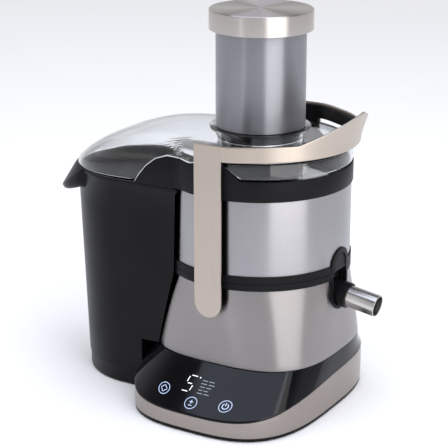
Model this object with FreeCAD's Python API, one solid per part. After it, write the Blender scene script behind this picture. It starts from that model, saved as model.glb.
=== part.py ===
import FreeCAD, Part
import math
import os
from FreeCAD import Vector

# Centrifugal juicer, in millimetres. Everything is modelled about the upright spindle (x = y = 0) with the
# table at z = 0: +X is the juice spout's side, -X the pulp container's and -Y the control panel's.
# At export it is moved so that the middle of its footprint is the origin.

# ---- driving dimensions: heights above the table -------------------------------------------------------
FOOT_BOTTOM = 0.0
PAN_BOTTOM = 1.2
BAND_BOTTOM = 4.0
DECK_EDGE = 20.0
HOUSING_BOTTOM = 53.0
TROUGH_FLOOR = 99.5
PIVOT_Z = 115.0
HOUSING_TOP = 128.0
COLLAR_SPLIT = 134.5
SHELL_BOTTOM = 141.5
SHELL_TOP = 212.0
RIM_Z = 211.6
RING_TOP = 231.0
LID_TOP = 252.0
HOOP_BOTTOM = 250.5
HOOP_TOP = 264.6
SLEEVE_BOTTOM = 262.7
CAP_BOTTOM = 352.8
CAP_TOP = 371.4
LIP_TIP_Z = 287.0

# ---- driving dimensions: plan --------------------------------------------------------------------------
BASE_HALF_X = 91.0
BASE_HALF_Y = 115.0
BASE_MID_Y = -17.0
BASE_ROUNDNESS = 3.1
HOUSING_HALF = 88.0
HOUSING_ROUNDNESS = 3.0
HOUSING_R = 85.5
COLLAR_R = 87.2
SHELL_R = 86.0
RING_R = 87.5
LID_R = 87.0
CHUTE_R = 40.3
CHUTE_BORE_R = 37.5
PUSHER_R = 36.6
SLEEVE_R = 41.9
FLANGE_R = 47.4
CAP_R = 48.2
CONTAINER_X = -116.0
CONTAINER_R = 77.0
CONTAINER_FOOT_R = 69.5
GRIP_X = -212.0
SPOUT_TIP_X = 126.0
SPOUT_R = 10.3
SPOUT_FALL = 0.16
SPOUT_TIP_Z = 105.4
LEG_HALF = 14.0
LEG_OUTER_Y = 95.5
HOOP_R = 93.5
LIP_TIP_R = 106.6
SHAFT_R = 4.0

# ---- driving dimensions: walls and gaps ----------------------------------------------------------------
GAP = 0.4
RUNNING = 0.05
STEEL = 0.8
PLASTIC = 2.5
PIN_R = 5.0

UP = Vector(0, 0, 1)
BELOW = -20.0
FAR = 300.0
pieces = {}


# ---- small helpers -------------------------------------------------------------------------------------
def disc(radius, low, high, x=0.0, y=0.0):
    return Part.makeCylinder(radius, high - low, Vector(x, y, low), UP)


def tube(outer, inner, low, high, x=0.0, y=0.0):
    return disc(outer, low, high, x, y).cut(disc(inner, low, high, x, y))


def box(x0, x1, y0, y1, z0, z1):
    return Part.makeBox(x1 - x0, y1 - y0, z1 - z0, Vector(x0, y0, z0))


def rod(radius, start, end):
    run = end - start
    return Part.makeCylinder(radius, run.Length, start, run)


def revolve(profile, angle=360.0, centre=Vector(0, 0, 0)):
    points = [Vector(r, 0, z) + centre for r, z in profile]
    face = Part.Face(Part.makePolygon(points + points[:1]))
    return face.revolve(centre, UP, angle)


def union(shapes):
    return shapes[0].fuse(shapes[1:]).removeSplitter()


def both_sides(shape):
    return [shape, shape.mirror(Vector(0, 0, 0), Vector(0, 1, 0))]


def squircle(half_x, half_y, mid_y, z, roundness):
    """Closed rounded-rectangle outline, |x/a|^n + |y/b|^n = 1, at height z."""
    points = []
    steps = 36
    for i in range(steps):
        turn = 2 * math.pi * i / steps
        across = abs(math.cos(turn) / half_x) ** roundness
        along = abs(math.sin(turn) / half_y) ** roundness
        reach = (across + along) ** (-1 / roundness)
        points.append(Vector(reach * math.cos(turn), mid_y + reach * math.sin(turn), z))
    curve = Part.BSplineCurve()
    curve.interpolate(Points=points, PeriodicFlag=True)
    return Part.Wire([curve.toShape()])


def base_outline(z, inset=0.0):
    return squircle(BASE_HALF_X - inset, BASE_HALF_Y - inset, BASE_MID_Y, z, BASE_ROUNDNESS)


def base_prism(low, high, inset=0.0):
    return Part.Face(base_outline(low, inset)).extrude(Vector(0, 0, high - low))


def housing_outline(z, inset=0.0):
    """The motor housing changes from a rounded square at its foot to a circle at its top."""
    up = (z - HOUSING_BOTTOM) / (HOUSING_TOP - HOUSING_BOTTOM)
    half = HOUSING_HALF + (HOUSING_R - HOUSING_HALF) * up - inset
    roundness = HOUSING_ROUNDNESS + (2.0 - HOUSING_ROUNDNESS) * up
    return squircle(half, half, 0.0, z, roundness)


def loft(wires, ruled=False):
    return Part.makeLoft(wires, True, ruled)


def side_profile(points, half_width=FAR):
    """A closed outline of (x, z) points, extruded the whole way across in Y."""
    wire = Part.makePolygon([Vector(x, -half_width, z) for x, z in points + points[:1]])
    return Part.Face(wire).extrude(Vector(0, 2 * half_width, 0))


def front_profile(points, half_width=FAR):
    """A closed outline of (y, z) points, extruded the whole way across in X."""
    wire = Part.makePolygon([Vector(-half_width, y, z) for y, z in points + points[:1]])
    return Part.Face(wire).extrude(Vector(2 * half_width, 0, 0))


def arch_prism(half_width, spring, foot, x0, x1):
    """A box from foot up to spring, with a half-round top, along X."""
    top = Part.makeCylinder(half_width, x1 - x0, Vector(x0, 0, spring), Vector(1, 0, 0))
    return top.fuse(box(x0, x1, -half_width, half_width, foot, spring)).removeSplitter()


def cradle_prism(half_width, centre, top, x0, x1):
    """A box from centre up to top, with a half-round bottom, along X."""
    low = Part.makeCylinder(half_width, x1 - x0, Vector(x0, 0, centre), Vector(1, 0, 0))
    return low.fuse(box(x0, x1, -half_width, half_width, centre, top)).removeSplitter()


def ring_of(shape, count, first=0.0):
    copies = []
    for i in range(count):
        copy = shape.copy()
        copy.rotate(Vector(0, 0, 0), UP, first + 360.0 * i / count)
        copies.append(copy)
    return copies


def corners(spread_x, spread_y, mid_y=0.0):
    return [(sx * spread_x, mid_y + sy * spread_y) for sx in (-1, 1) for sy in (-1, 1)]


# ---- base ----------------------------------------------------------------------------------------------
BAND_RISE = [(-116.0, 20.5), (-103.0, 23.5), (-85.0, 28.0), (-59.0, 32.2), (-26.0, 35.2), (11.0, 36.5)]
BAND_FRONT_Z = 17.5
BAND_SIDE_Z = BAND_RISE[-1][1]
DECK_TOP_HOLE_R = 66.0
BOSS_R = 6.0
MOTOR_POST = 36.0
BRACKET_Z = 26.0
FOOT_R = 9.0
foot_places = corners(62.0, 84.0, BASE_MID_Y)
motor_posts = corners(MOTOR_POST, MOTOR_POST)


def band_top_tool():
    """Everything above the steel band's top edge, which is lowest along the front."""
    front = BASE_MID_Y - BASE_HALF_Y
    edge = [(front - 5, BAND_FRONT_Z), (front, BAND_FRONT_Z)] + BAND_RISE + [(FAR, BAND_SIDE_Z)]
    return front_profile(edge + [(FAR, FAR), (front - 5, FAR)])


def deck_solid(inset):
    skirt = base_prism(PAN_BOTTOM + 3.0, DECK_EDGE, inset)
    crown = loft([base_outline(DECK_EDGE, inset), housing_outline(HOUSING_BOTTOM, inset)], True)
    return skirt.fuse(crown)


def make_base():
    floor = base_prism(PAN_BOTTOM, PAN_BOTTOM + PLASTIC, 0.4)
    rim = base_prism(PAN_BOTTOM, BAND_BOTTOM, 0.4).cut(base_prism(PAN_BOTTOM, BAND_BOTTOM, 4.0))
    bosses = [disc(BOSS_R, PAN_BOTTOM, BRACKET_Z - 4.0, x, y) for x, y in motor_posts]
    pan = union([floor, rim] + bosses)
    slot = box(16.0, 31.0, -1.6, 1.6, PAN_BOTTOM - 1, PAN_BOTTOM + PLASTIC + 1)
    pan = pan.cut(ring_of(slot, 12, 15.0))
    foot_holes = [disc(FOOT_R, PAN_BOTTOM - 1, PAN_BOTTOM + 1.0, x, y) for x, y in foot_places]
    screw_holes = [disc(2.0, PAN_BOTTOM - 1, PAN_BOTTOM + PLASTIC + 1, x, y) for x, y in screw_places]
    pieces["base_pan"] = pan.cut(foot_holes + screw_holes)
    feet = [disc(FOOT_R - 0.2, FOOT_BOTTOM, PAN_BOTTOM + 0.9, x, y) for x, y in foot_places]
    pieces["rubber_feet"] = Part.makeCompound(feet)

    band = base_prism(BAND_BOTTOM, BAND_SIDE_Z + 1.0).cut(base_prism(BAND_BOTTOM, BAND_SIDE_Z + 1.0, STEEL))
    inlet = rod(GLAND_R, Vector(0, 60, GLAND_Z), Vector(0, 120, GLAND_Z))
    pieces["base_band"] = band.cut([band_top_tool(), inlet])

    deck = deck_solid(STEEL).cut(deck_solid(STEEL + PLASTIC).translated(Vector(0, 0, -PLASTIC)))
    opening = disc(DECK_TOP_HOLE_R, DECK_EDGE, HOUSING_BOTTOM + 1)
    pieces["deck_cover"] = deck.cut([opening, inlet])


GLAND_R = 8.0
GLAND_Z = 20.0
screw_places = corners(48.0, 96.0, BASE_MID_Y)


def make_base_hardware():
    """Cord gland at the back, with no cord in it, and the screws that hold the pan."""
    back = BASE_MID_Y + BASE_HALF_Y
    outside = rod(GLAND_R - 0.2, Vector(0, back - 7, GLAND_Z), Vector(0, back + 1.0, GLAND_Z))
    flange = rod(GLAND_R + 2.5, Vector(0, back - 10, GLAND_Z), Vector(0, back - 7, GLAND_Z))
    passage = rod(3.6, Vector(0, back - 12, GLAND_Z), Vector(0, back + 2, GLAND_Z))
    pieces["cord_gland"] = union([outside, flange]).cut(passage)
    screws = []
    for x, y in screw_places:
        shank = disc(1.8, PAN_BOTTOM + PLASTIC, PAN_BOTTOM + PLASTIC + 9.0, x, y)
        head = disc(3.4, PAN_BOTTOM + PLASTIC, PAN_BOTTOM + PLASTIC + 1.8, x, y)
        screws.append(head.fuse(shank))
    pieces["base_screws"] = Part.makeCompound(screws)


# ---- control panel, inside the sloping front -----------------------------------------------------------
PANEL_LOW = Vector(0, BASE_MID_Y - BASE_HALF_Y, DECK_EDGE)
PANEL_HIGH = Vector(0, -HOUSING_HALF, HOUSING_BOTTOM)
PANEL_SLOPE = math.degrees(math.atan2(PANEL_HIGH.z - PANEL_LOW.z, PANEL_HIGH.y - PANEL_LOW.y))


BOARD_DEPTH = 11.0


def on_panel(shape, depth):
    """Lay a shape drawn on z = 0, about the panel's middle, parallel to the panel and below it."""
    middle = (PANEL_LOW + PANEL_HIGH) * 0.5
    shape.translate(Vector(0, 0, -depth))
    shape.rotate(Vector(0, 0, 0), Vector(1, 0, 0), PANEL_SLOPE)
    shape.translate(middle)
    return shape


def make_controls():
    board = box(-46, 46, -16, 14, 0, 1.6)
    pieces["display_board"] = on_panel(board, BOARD_DEPTH)
    digit = box(-18, 2, -4, 12, 0, 4.0)
    pieces["display_digit"] = on_panel(digit, BOARD_DEPTH - 1.6)
    springs = [disc(4.0, 0, 4.0, x, -9.5) for x in (-33.0, 0.0, 33.0)]
    pieces["touch_springs"] = on_panel(Part.makeCompound(springs), BOARD_DEPTH - 1.6)
    power = box(-52, 52, -108, -52, 7.0, 8.6)
    parts = [box(-40, -22, -100, -80, 8.6, 18.0), disc(6.5, 8.6, 20.0, 10.0, -80.0)]
    parts.append(box(24, 44, -78, -62, 8.6, 15.0))
    pieces["control_board"] = union([power] + parts)


# ---- motor, standing on the pan ------------------------------------------------------------------------
STATOR_LOW = 54.0
STATOR_HIGH = 86.0
STATOR_HALF = 42.0
ARMATURE_R = 23.0
COMMUTATOR_R = 12.0
BEARING_R = 11.0
FAN_R = 34.0


def make_motor():
    plate = box(-44, 44, -44, 44, BRACKET_Z, BRACKET_Z + 4.0).cut(disc(BEARING_R, 0, 60))
    windows = [box(20, 32, -14, 14, 0, 60), box(-32, -20, -14, 14, 0, 60)]
    pieces["motor_lower_bracket"] = plate.cut(windows)
    grommets = [tube(8.0, 3.0, BRACKET_Z - 4.0, BRACKET_Z, x, y) for x, y in motor_posts]
    pieces["motor_grommets"] = Part.makeCompound(grommets)
    spacers = [tube(4.5, 2.2, BRACKET_Z + 4.0, STATOR_LOW, x, y) for x, y in corners(35.0, 35.0)]
    pieces["motor_spacers"] = Part.makeCompound(spacers)
    bolts = [disc(2.0, BRACKET_Z + 4.0, 97.0, x, y) for x, y in corners(35.0, 35.0)]
    pieces["motor_bolts"] = Part.makeCompound(bolts)
    bolt_holes = [disc(2.2, 0, FAR, x, y) for x, y in corners(35.0, 35.0)]
    core = box(-STATOR_HALF, STATOR_HALF, -STATOR_HALF, STATOR_HALF, STATOR_LOW, STATOR_HIGH)
    core = core.common(disc(STATOR_HALF * 1.25, STATOR_LOW, STATOR_HIGH))
    pieces["stator_core"] = core.cut([disc(ARMATURE_R + 0.6, 0, FAR)] + bolt_holes)
    coils = []
    for low, high in ((STATOR_HIGH, STATOR_HIGH + 7.0), (STATOR_LOW - 7.0, STATOR_LOW)):
        ring = tube(37.0, 25.5, low, high)
        coils += [ring.common(box(4, 60, -60, 60, 0, FAR)), ring.common(box(-60, -4, -60, 60, 0, FAR))]
    pieces["field_coils"] = Part.makeCompound(coils)
    cover = box(-STATOR_HALF, STATOR_HALF, -16, 16, 94.0, 97.0)
    posts = [tube(4.5, 2.2, STATOR_HIGH, 94.0, x, y) for x, y in corners(35.0, 35.0)]
    arms = [box(-40, 40, y - 5, y + 5, 94.0, 97.0) for y in (-35.0, 35.0)]
    ties = [box(x - 5, x + 5, -35, 35, 94.0, 97.0) for x in (-35.0, 35.0)]
    bridge = union([cover] + arms + ties + posts)
    pieces["motor_upper_bracket"] = bridge.cut([disc(BEARING_R, 90, 100)] + bolt_holes)
    pieces["lower_bearing"] = tube(BEARING_R, SHAFT_R + RUNNING, BRACKET_Z, BRACKET_Z + 7.0)
    pieces["upper_bearing"] = tube(BEARING_R, SHAFT_R + RUNNING, 94.0, 101.0)
    holder = box(COMMUTATOR_R + 0.5, 30.0, -4, 4, 37.0, 45.0)
    pieces["brush_holders"] = Part.makeCompound(ring_of(holder, 2, 90.0))


def make_rotor():
    pieces["motor_shaft"] = disc(SHAFT_R, 10.0, COUPLING_LOW + 4.0)
    pieces["armature_core"] = tube(ARMATURE_R, SHAFT_R, STATOR_LOW, STATOR_HIGH)
    turns = [tube(20.0, SHAFT_R, STATOR_HIGH, 93.0), tube(20.0, SHAFT_R, 47.5, STATOR_LOW)]
    pieces["armature_windings"] = Part.makeCompound(turns)
    pieces["commutator"] = tube(COMMUTATOR_R, SHAFT_R, 35.0, 47.0)
    blade = box(9.0, FAN_R, -1.2, 1.2, 14.0, 22.0)
    hub = tube(10.0, SHAFT_R, 12.0, 22.0)
    back_plate = tube(FAN_R, SHAFT_R, 12.0, 14.0)
    pieces["cooling_fan"] = union([hub, back_plate] + ring_of(blade, 9))
    ribs = ring_of(box(0, DOG_REACH, -2.0, 2.0, COUPLING_LOW, COUPLING_TOP), 4)
    coupling = union([disc(DOG_CORE_R, COUPLING_LOW, COUPLING_TOP)] + ribs)
    pieces["drive_coupling"] = coupling.cut(disc(SHAFT_R, COUPLING_LOW, COUPLING_LOW + 4.0))


# ---- motor housing -------------------------------------------------------------------------------------
COUPLING_LOW = 130.6
COUPLING_TOP = 146.0
DOG_CORE_R = 9.2
DOG_REACH = 11.4
SPOUT_NOTCH = 13.0
FRAME_EDGE = 2.8
SPOUT_HOUSING_Z = SPOUT_TIP_Z + SPOUT_FALL * (SPOUT_TIP_X - HOUSING_R)
TROUGH_R = 84.2
DOME_R = 28.0


def make_housing():
    outer = loft([housing_outline(HOUSING_BOTTOM), housing_outline(HOUSING_TOP)], True)
    inner = loft([housing_outline(HOUSING_BOTTOM, STEEL), housing_outline(HOUSING_TOP, STEEL)], True)
    frame_hole = cradle_prism(SPOUT_NOTCH + FRAME_EDGE, SPOUT_HOUSING_Z, FAR, 60, 120)
    boss_hole = rod(BOSS_HOLE_R, Vector(0, -FAR, PIVOT_Z), Vector(0, FAR, PIVOT_Z))
    pieces["motor_housing"] = outer.cut([inner, frame_hole, boss_hole])

    notch = cradle_prism(SPOUT_NOTCH, SPOUT_HOUSING_Z, FAR, 60, 120)
    collar = tube(COLLAR_R, TROUGH_R - 3.0, HOUSING_TOP, COLLAR_SPLIT - 0.2)
    wall = tube(TROUGH_R, TROUGH_R - 3.0, TROUGH_FLOOR, HOUSING_TOP)
    floor = tube(TROUGH_R, DOME_R - 2.5, TROUGH_FLOOR, TROUGH_FLOOR + PLASTIC)
    dome = tube(DOME_R, DOME_R - 2.5, TROUGH_FLOOR, HOUSING_TOP)
    lid = tube(DOME_R, 8.0, HOUSING_TOP - 2.5, HOUSING_TOP)
    trough = union([collar, wall, floor, dome, lid])
    pieces["motor_top_deck"] = trough.cut(notch)

    frame = cradle_prism(SPOUT_NOTCH + FRAME_EDGE, SPOUT_HOUSING_Z, COLLAR_SPLIT - 0.2, TROUGH_R, COLLAR_R + 1.0)
    round_face = disc(COLLAR_R + 0.5, 90, HOUSING_TOP).cut(disc(TROUGH_R, 90, HOUSING_TOP))
    pieces["spout_frame"] = frame.cut(notch).common(round_face)
    pieces["shaft_seal"] = tube(8.0, SHAFT_R + RUNNING, HOUSING_TOP - 2.5, HOUSING_TOP + 1.0)


BOSS_HOLE_R = 9.4


def make_pivots():
    """Bosses and pins that the locking arm turns on, and the switches that its feet press."""
    bosses = []
    pins = []
    for side in (-1, 1):
        inside = Vector(0, side * (TROUGH_R + 0.4), PIVOT_Z)
        face = Vector(0, side * (ARM_INNER_Y - GAP), PIVOT_Z)
        boss = rod(BOSS_HOLE_R - 0.3, inside, face)
        pin = rod(PIN_R, inside, Vector(0, side * (PLATE_INNER_Y - GAP), PIVOT_Z))
        bosses.append(boss.cut(pin))
        pins.append(pin)
    pieces["pivot_bosses"] = Part.makeCompound(bosses)
    pieces["pivot_pins"] = Part.makeCompound(pins)
    switch = box(-10, 10, 66.0, 76.0, 84.0, 96.0)
    pieces["safety_switches"] = Part.makeCompound(both_sides(switch))


# ---- locking arm ---------------------------------------------------------------------------------------
ARM_INNER_Y = 89.4
PLATE = 2.2
PLATE_INNER_Y = LEG_OUTER_Y - PLATE
LIP_START_X = 72.0


def leg(y_low, y_high, half):
    bottom = rod(half, Vector(0, y_low, PIVOT_Z), Vector(0, y_high, PIVOT_Z))
    return bottom.fuse(box(-half, half, y_low, y_high, PIVOT_Z, HOOP_TOP)).removeSplitter()


def hoop(outer, inner, low, high):
    """Band round the +X side of the lid, ending at the legs."""
    return tube(outer, inner, low, high).common(box(-LEG_HALF, FAR, -FAR, FAR, 0, FAR))


def beak(outer, inner):
    """Flared lip at +X: a slice of a cone under a plane that climbs towards the spout side."""
    low = HOOP_BOTTOM + 3.0
    flare = (LIP_TIP_R - HOOP_R) / (LIP_TIP_Z - low)
    top = LIP_TIP_Z + 4.0
    spread = flare * (top - low)
    cone = Part.makeCone(outer, outer + spread, top - low, Vector(0, 0, low))
    hollow = Part.makeCone(inner, inner + spread, top - low, Vector(0, 0, low))
    under = [(LIP_START_X, low), (LIP_TIP_R + 2, low), (LIP_TIP_R + 2, LIP_TIP_Z)]
    under += [(LIP_TIP_R, LIP_TIP_Z), (LIP_START_X, HOOP_TOP)]
    return cone.cut(hollow).common(side_profile(under))


def make_arm():
    legs = both_sides(leg(PLATE_INNER_Y, LEG_OUTER_Y, LEG_HALF))
    band = hoop(HOOP_R, HOOP_R - PLATE, HOOP_BOTTOM, HOOP_TOP)
    corner = both_sides(box(-LEG_HALF, LEG_HALF, HOOP_R - PLATE, LEG_OUTER_Y, HOOP_BOTTOM, HOOP_TOP))
    pieces["arm_cover"] = union(legs + [band, beak(HOOP_R, HOOP_R - PLATE)] + corner)
    inner_legs = []
    for side in both_sides(leg(ARM_INNER_Y, PLATE_INNER_Y, LEG_HALF - 1.2)):
        inner_legs.append(side.cut(box(-FAR, FAR, -FAR, FAR, HOOP_BOTTOM, FAR)))
    bores = rod(PIN_R + RUNNING, Vector(0, -FAR, PIVOT_Z), Vector(0, FAR, PIVOT_Z))
    liner_hoop = hoop(HOOP_R - PLATE, LID_R + 1.4, HOOP_BOTTOM - 0.5, HOOP_TOP - 2.0)
    joint = tube(LEG_OUTER_Y, LID_R + 1.4, HOOP_BOTTOM - 0.5, HOOP_BOTTOM).common(
        box(-LEG_HALF + 1.2, LEG_HALF - 1.2, -PLATE_INNER_Y, PLATE_INNER_Y, 0, FAR))
    pieces["arm_liner"] = union(inner_legs + [liner_hoop, joint]).cut(bores)


# ---- bowl ----------------------------------------------------------------------------------------------
SOCKET_R = 12.2
SOCKET_END_X = 97.0
SPOUT_IN_X = 80.0
RECESS_HALF = 11.0
ARCH_HALF = 16.0
ARCH_SPRING = 140.0
BOWL_WALL_R = 84.9
CHANNEL_R = 80.0
CHANNEL_FLOOR = 102.4
DUCT_Y = 77.0
SEAM = [(27.0, 231.0), (10.0, 245.0), (-10.0, 244.5), (-27.0, 240.5), (-40.0, 241.5), (-54.0, 242.0),
        (-67.0, 237.5), (-78.0, 229.0), (-86.0, 219.5), (-91.0, 211.9)]


def spout_point(x):
    return Vector(x, 0, SPOUT_TIP_Z + SPOUT_FALL * (SPOUT_TIP_X - x))


def below_seam(raise_by):
    """Everything under the line where the lid meets the black ring and pulp duct."""
    edge = [(x, z + raise_by) for x, z in SEAM]
    low_left = [(-FAR, RIM_Z + 0.3 + raise_by), (-FAR, BELOW)]
    return side_profile([(FAR, BELOW), (FAR, RING_TOP + raise_by)] + edge + low_left)


def make_bowl():
    shell = tube(SHELL_R, SHELL_R - STEEL, SHELL_BOTTOM, SHELL_TOP)
    arch_hole = arch_prism(ARCH_HALF + 0.2, ARCH_SPRING, SHELL_BOTTOM - 20, 60, 120)
    pieces["bowl_shell"] = shell.cut(arch_hole)

    spout_bore = rod(SOCKET_R, spout_point(60), spout_point(SOCKET_END_X))
    profile = [(CHANNEL_R, CHANNEL_FLOOR), (CHANNEL_R, SHELL_BOTTOM - 1.5), (BOWL_WALL_R, SHELL_BOTTOM)]
    profile += [(BOWL_WALL_R, SHELL_TOP), (BOWL_WALL_R - 2.2, SHELL_TOP)]
    profile += [(BOWL_WALL_R - 2.2, SHELL_BOTTOM + 2.0), (CHANNEL_R - 2.2, SHELL_BOTTOM)]
    profile += [(CHANNEL_R - 2.2, CHANNEL_FLOOR + 2.4), (DOME_R + 3.4, CHANNEL_FLOOR + 2.4)]
    profile += [(DOME_R + 3.4, HOUSING_TOP + 6.0), (17.0, HOUSING_TOP + 6.0)]
    profile += [(17.0, HOUSING_TOP + 3.8), (DOME_R + 1.0, HOUSING_TOP + 3.8), (DOME_R + 1.0, CHANNEL_FLOOR)]
    pieces["juice_bowl"] = revolve(profile).cut(spout_bore)

    ring = tube(COLLAR_R, CHANNEL_R + 0.4, COLLAR_SPLIT + 0.2, SHELL_BOTTOM - 1.5)
    ring = ring.fuse(tube(COLLAR_R, BOWL_WALL_R + 0.2, SHELL_BOTTOM - 1.5, SHELL_BOTTOM))
    arch = arch_prism(ARCH_HALF, ARCH_SPRING, SHELL_BOTTOM - 5, 60, 120)
    arch = arch.common(tube(COLLAR_R + 0.4, BOWL_WALL_R + 0.2, SHELL_BOTTOM - 5, 170))
    recess = arch_prism(RECESS_HALF, ARCH_SPRING, COLLAR_SPLIT - 2, BOWL_WALL_R + 1.2, 120)
    pieces["bowl_lower_ring"] = union([ring, arch]).cut([recess, spout_bore])

    socket = rod(SOCKET_R, spout_point(CHANNEL_R - 2.4), spout_point(SOCKET_END_X))
    channel_side = disc(CHANNEL_R - 2.2, 60, 160)
    spout_fit = rod(SPOUT_R, spout_point(SPOUT_IN_X), spout_point(SPOUT_TIP_X))
    inlet = rod(SPOUT_R - 1.0, spout_point(60), spout_point(SPOUT_IN_X + 1))
    pieces["spout_socket"] = socket.cut([channel_side, spout_fit, inlet])
    pieces["spout_tube"] = spout_fit.cut(rod(SPOUT_R - 1.0, spout_point(70), spout_point(140)))

    rim = tube(RING_R, BOWL_WALL_R - 1.6, SHELL_TOP, LID_TOP)
    passage = box(-FAR, -30, -DUCT_Y + PLASTIC, DUCT_Y - PLASTIC, SHELL_TOP + 2.0, FAR)
    rim = rim.cut(passage)
    wall = box(-92, -36, DUCT_Y - PLASTIC, DUCT_Y, SHELL_TOP + 0.2, LID_TOP).cut(disc(BOWL_WALL_R, 200, 260))
    duct = union([rim] + both_sides(wall))
    pieces["bowl_top_ring"] = duct.common(below_seam(0.0))


# ---- basket, spinning in the bowl ----------------------------------------------------------------------
BASKET_LOW = 158.0
BASKET_TOP = 205.0
BASKET_FOOT_R = 46.0
BASKET_RIM_R = 75.0
GRATER_R = 44.8


def make_basket():
    wall = [(BASKET_FOOT_R, BASKET_LOW), (BASKET_RIM_R, BASKET_TOP), (BASKET_RIM_R - 0.8, BASKET_TOP)]
    pieces["filter_basket"] = revolve(wall + [(BASKET_FOOT_R - 0.8, BASKET_LOW)])
    rim = tube(BASKET_RIM_R + 3.2, BASKET_RIM_R - 2.4, BASKET_TOP, BASKET_TOP + 4.0)
    pieces["basket_rim"] = rim
    tooth = Part.makeCone(1.5, 0.3, 1.6, Vector(0, 0, BASKET_LOW + 1.2))
    teeth = []
    for row in range(4):
        reach = 14.0 + 8.0 * row
        placed = tooth.translated(Vector(reach, 0, 0))
        teeth += ring_of(placed, 8 + 4 * row, 9.0 * row)
    pieces["grater_disc"] = tube(GRATER_R, 5.0, BASKET_LOW, BASKET_LOW + 1.2).fuse(teeth)
    cup = disc(16.0, COUPLING_LOW + 4.0, BASKET_LOW)
    plate = [(16.0, BASKET_LOW - 3.0), (BASKET_FOOT_R + 1.5, BASKET_LOW - 3.0)]
    plate += [(BASKET_FOOT_R + 1.5, BASKET_LOW), (16.0, BASKET_LOW)]
    nose = disc(4.8, BASKET_LOW, BASKET_LOW + 3.0)
    socket_ribs = ring_of(box(0, DOG_REACH + 0.7, -2.7, 2.7, 120, COUPLING_TOP + 1.0), 4)
    socket = union([disc(DOG_CORE_R + 0.7, 120, COUPLING_TOP + 1.0)] + socket_ribs)
    pieces["basket_hub"] = union([cup, revolve(plate), nose]).cut(socket)


# ---- lid -----------------------------------------------------------------------------------------------
LID_WALL = 2.4
DOME_START_X = -50.0
DOME_END_X = CONTAINER_X - CONTAINER_R
DOME_FALL = 3.8
DOME_ROUNDING = 1.3
DOME_END_RISE = 0.09
DOME_TOP = LID_TOP - 1.0
DOME_SQUARE_START = 5.4
DOME_SQUARE_END = 1.8


def along_dome(x):
    """0 where the dome starts beside the bowl, 1 at its far end."""
    return min(1.0, max(0.0, (DOME_START_X - x) / (DOME_START_X - DOME_END_X)))


def crown_height(x):
    """Height of the lid's ridge above the container's rim."""
    rise = DOME_TOP - RIM_Z
    fall = (1 - along_dome(x) ** DOME_FALL) ** DOME_ROUNDING
    return rise * (DOME_END_RISE + (1 - DOME_END_RISE) * fall)


def dome_section(x, inset):
    """An arch across the lid at x. Its shoulders are square by the bowl and round at the far end."""
    half = CONTAINER_R
    if x < CONTAINER_X:
        half = math.sqrt(CONTAINER_R ** 2 - (x - CONTAINER_X) ** 2)
    half -= inset
    height = crown_height(x) - inset
    squareness = DOME_SQUARE_START + (DOME_SQUARE_END - DOME_SQUARE_START) * along_dome(x)
    points = []
    steps = 14
    for i in range(steps + 1):
        turn = math.pi * i / steps
        side = math.copysign(abs(math.cos(turn)) ** (2 / squareness), math.cos(turn))
        up = abs(math.sin(turn)) ** (2 / squareness)
        points.append(Vector(x, half * side, RIM_Z + height * up))
    arch = Part.BSplineCurve()
    arch.interpolate(points)
    floor = Part.LineSegment(points[-1], points[0])
    return Part.Wire([arch.toShape(), floor.toShape()])


def dome_solid(inset):
    stations = [-36.0, -60.0, -85.0, -110.0, -132.0, -152.0, -170.0, -183.0, -190.5]
    return loft([dome_section(x + inset * (x < -180), inset) for x in stations])


def round_lid(inset):
    """The round part over the bowl, with a rounded shoulder."""
    radius = LID_R - inset
    top = LID_TOP - inset
    profile = [(0, 200), (radius, 200), (radius, top - 8.0), (radius - 1.2, top - 4.2)]
    profile += [(radius - 4.2, top - 1.2), (radius - 8.0, top), (0, top)]
    return revolve(profile)


def make_lid():
    outer = round_lid(0.0).fuse(dome_solid(0.0))
    shell = outer.cut(round_lid(LID_WALL)).cut(dome_solid(LID_WALL)).cut(below_seam(GAP))
    chute = disc(CHUTE_R, CHUTE_LOW, CAP_BOTTOM - GAP)
    flange = disc(FLANGE_R, SLEEVE_BOTTOM - 3.0, SLEEVE_BOTTOM - 0.4)
    lid = shell.fuse([chute, flange]).cut(disc(CHUTE_BORE_R, 100, FAR + 100))
    pieces["lid_cover"] = lid.removeSplitter()
    pieces["chute_sleeve"] = tube(SLEEVE_R, CHUTE_R + 0.1, SLEEVE_BOTTOM, CAP_BOTTOM - GAP)


CHUTE_LOW = 176.0


# ---- pusher --------------------------------------------------------------------------------------------
def make_pusher():
    foot = 168.0
    body = disc(PUSHER_R, foot, CAP_BOTTOM + 1.4)
    hollow = disc(PUSHER_R - PLASTIC, foot + PLASTIC, CAP_BOTTOM + 2)
    pieces["pusher_body"] = body.cut(hollow)
    edge = 2.0
    outline = [(0, CAP_BOTTOM), (CAP_R, CAP_BOTTOM), (CAP_R, CAP_TOP - edge), (CAP_R - edge, CAP_TOP)]
    cap = revolve(outline + [(0, CAP_TOP)])
    pocket = disc(CAP_R - 1.4, CAP_BOTTOM - 1, CAP_TOP - 1.4)
    pieces["pusher_cap"] = cap.cut(pocket)
    head = disc(CAP_R - 1.5, CAP_BOTTOM + 1.4, CAP_TOP - 1.5)
    pieces["pusher_head"] = head


# ---- pulp container ------------------------------------------------------------------------------------
CONTAINER_WALL = 2.2
BODY_SIDE_R = 89.6
BASE_CLEAR = 1.6
HOUSING_CORNER_R = 100.0
CONTAINER_STEP_Z = 16.0


def stadium(z, radius):
    """A half-round end round the container's centre, with straight sides running towards the bowl."""
    tip = Vector(CONTAINER_X - radius, 0, z)
    left = Vector(CONTAINER_X, radius, z)
    right = Vector(CONTAINER_X, -radius, z)
    near = [Vector(-36, radius, z), Vector(-36, -radius, z)]
    arc = Part.Arc(right, tip, left).toShape()
    sides = [Part.LineSegment(left, near[0]), Part.LineSegment(near[0], near[1])]
    sides.append(Part.LineSegment(near[1], right))
    return Part.Wire([arc] + [side.toShape() for side in sides])


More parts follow.
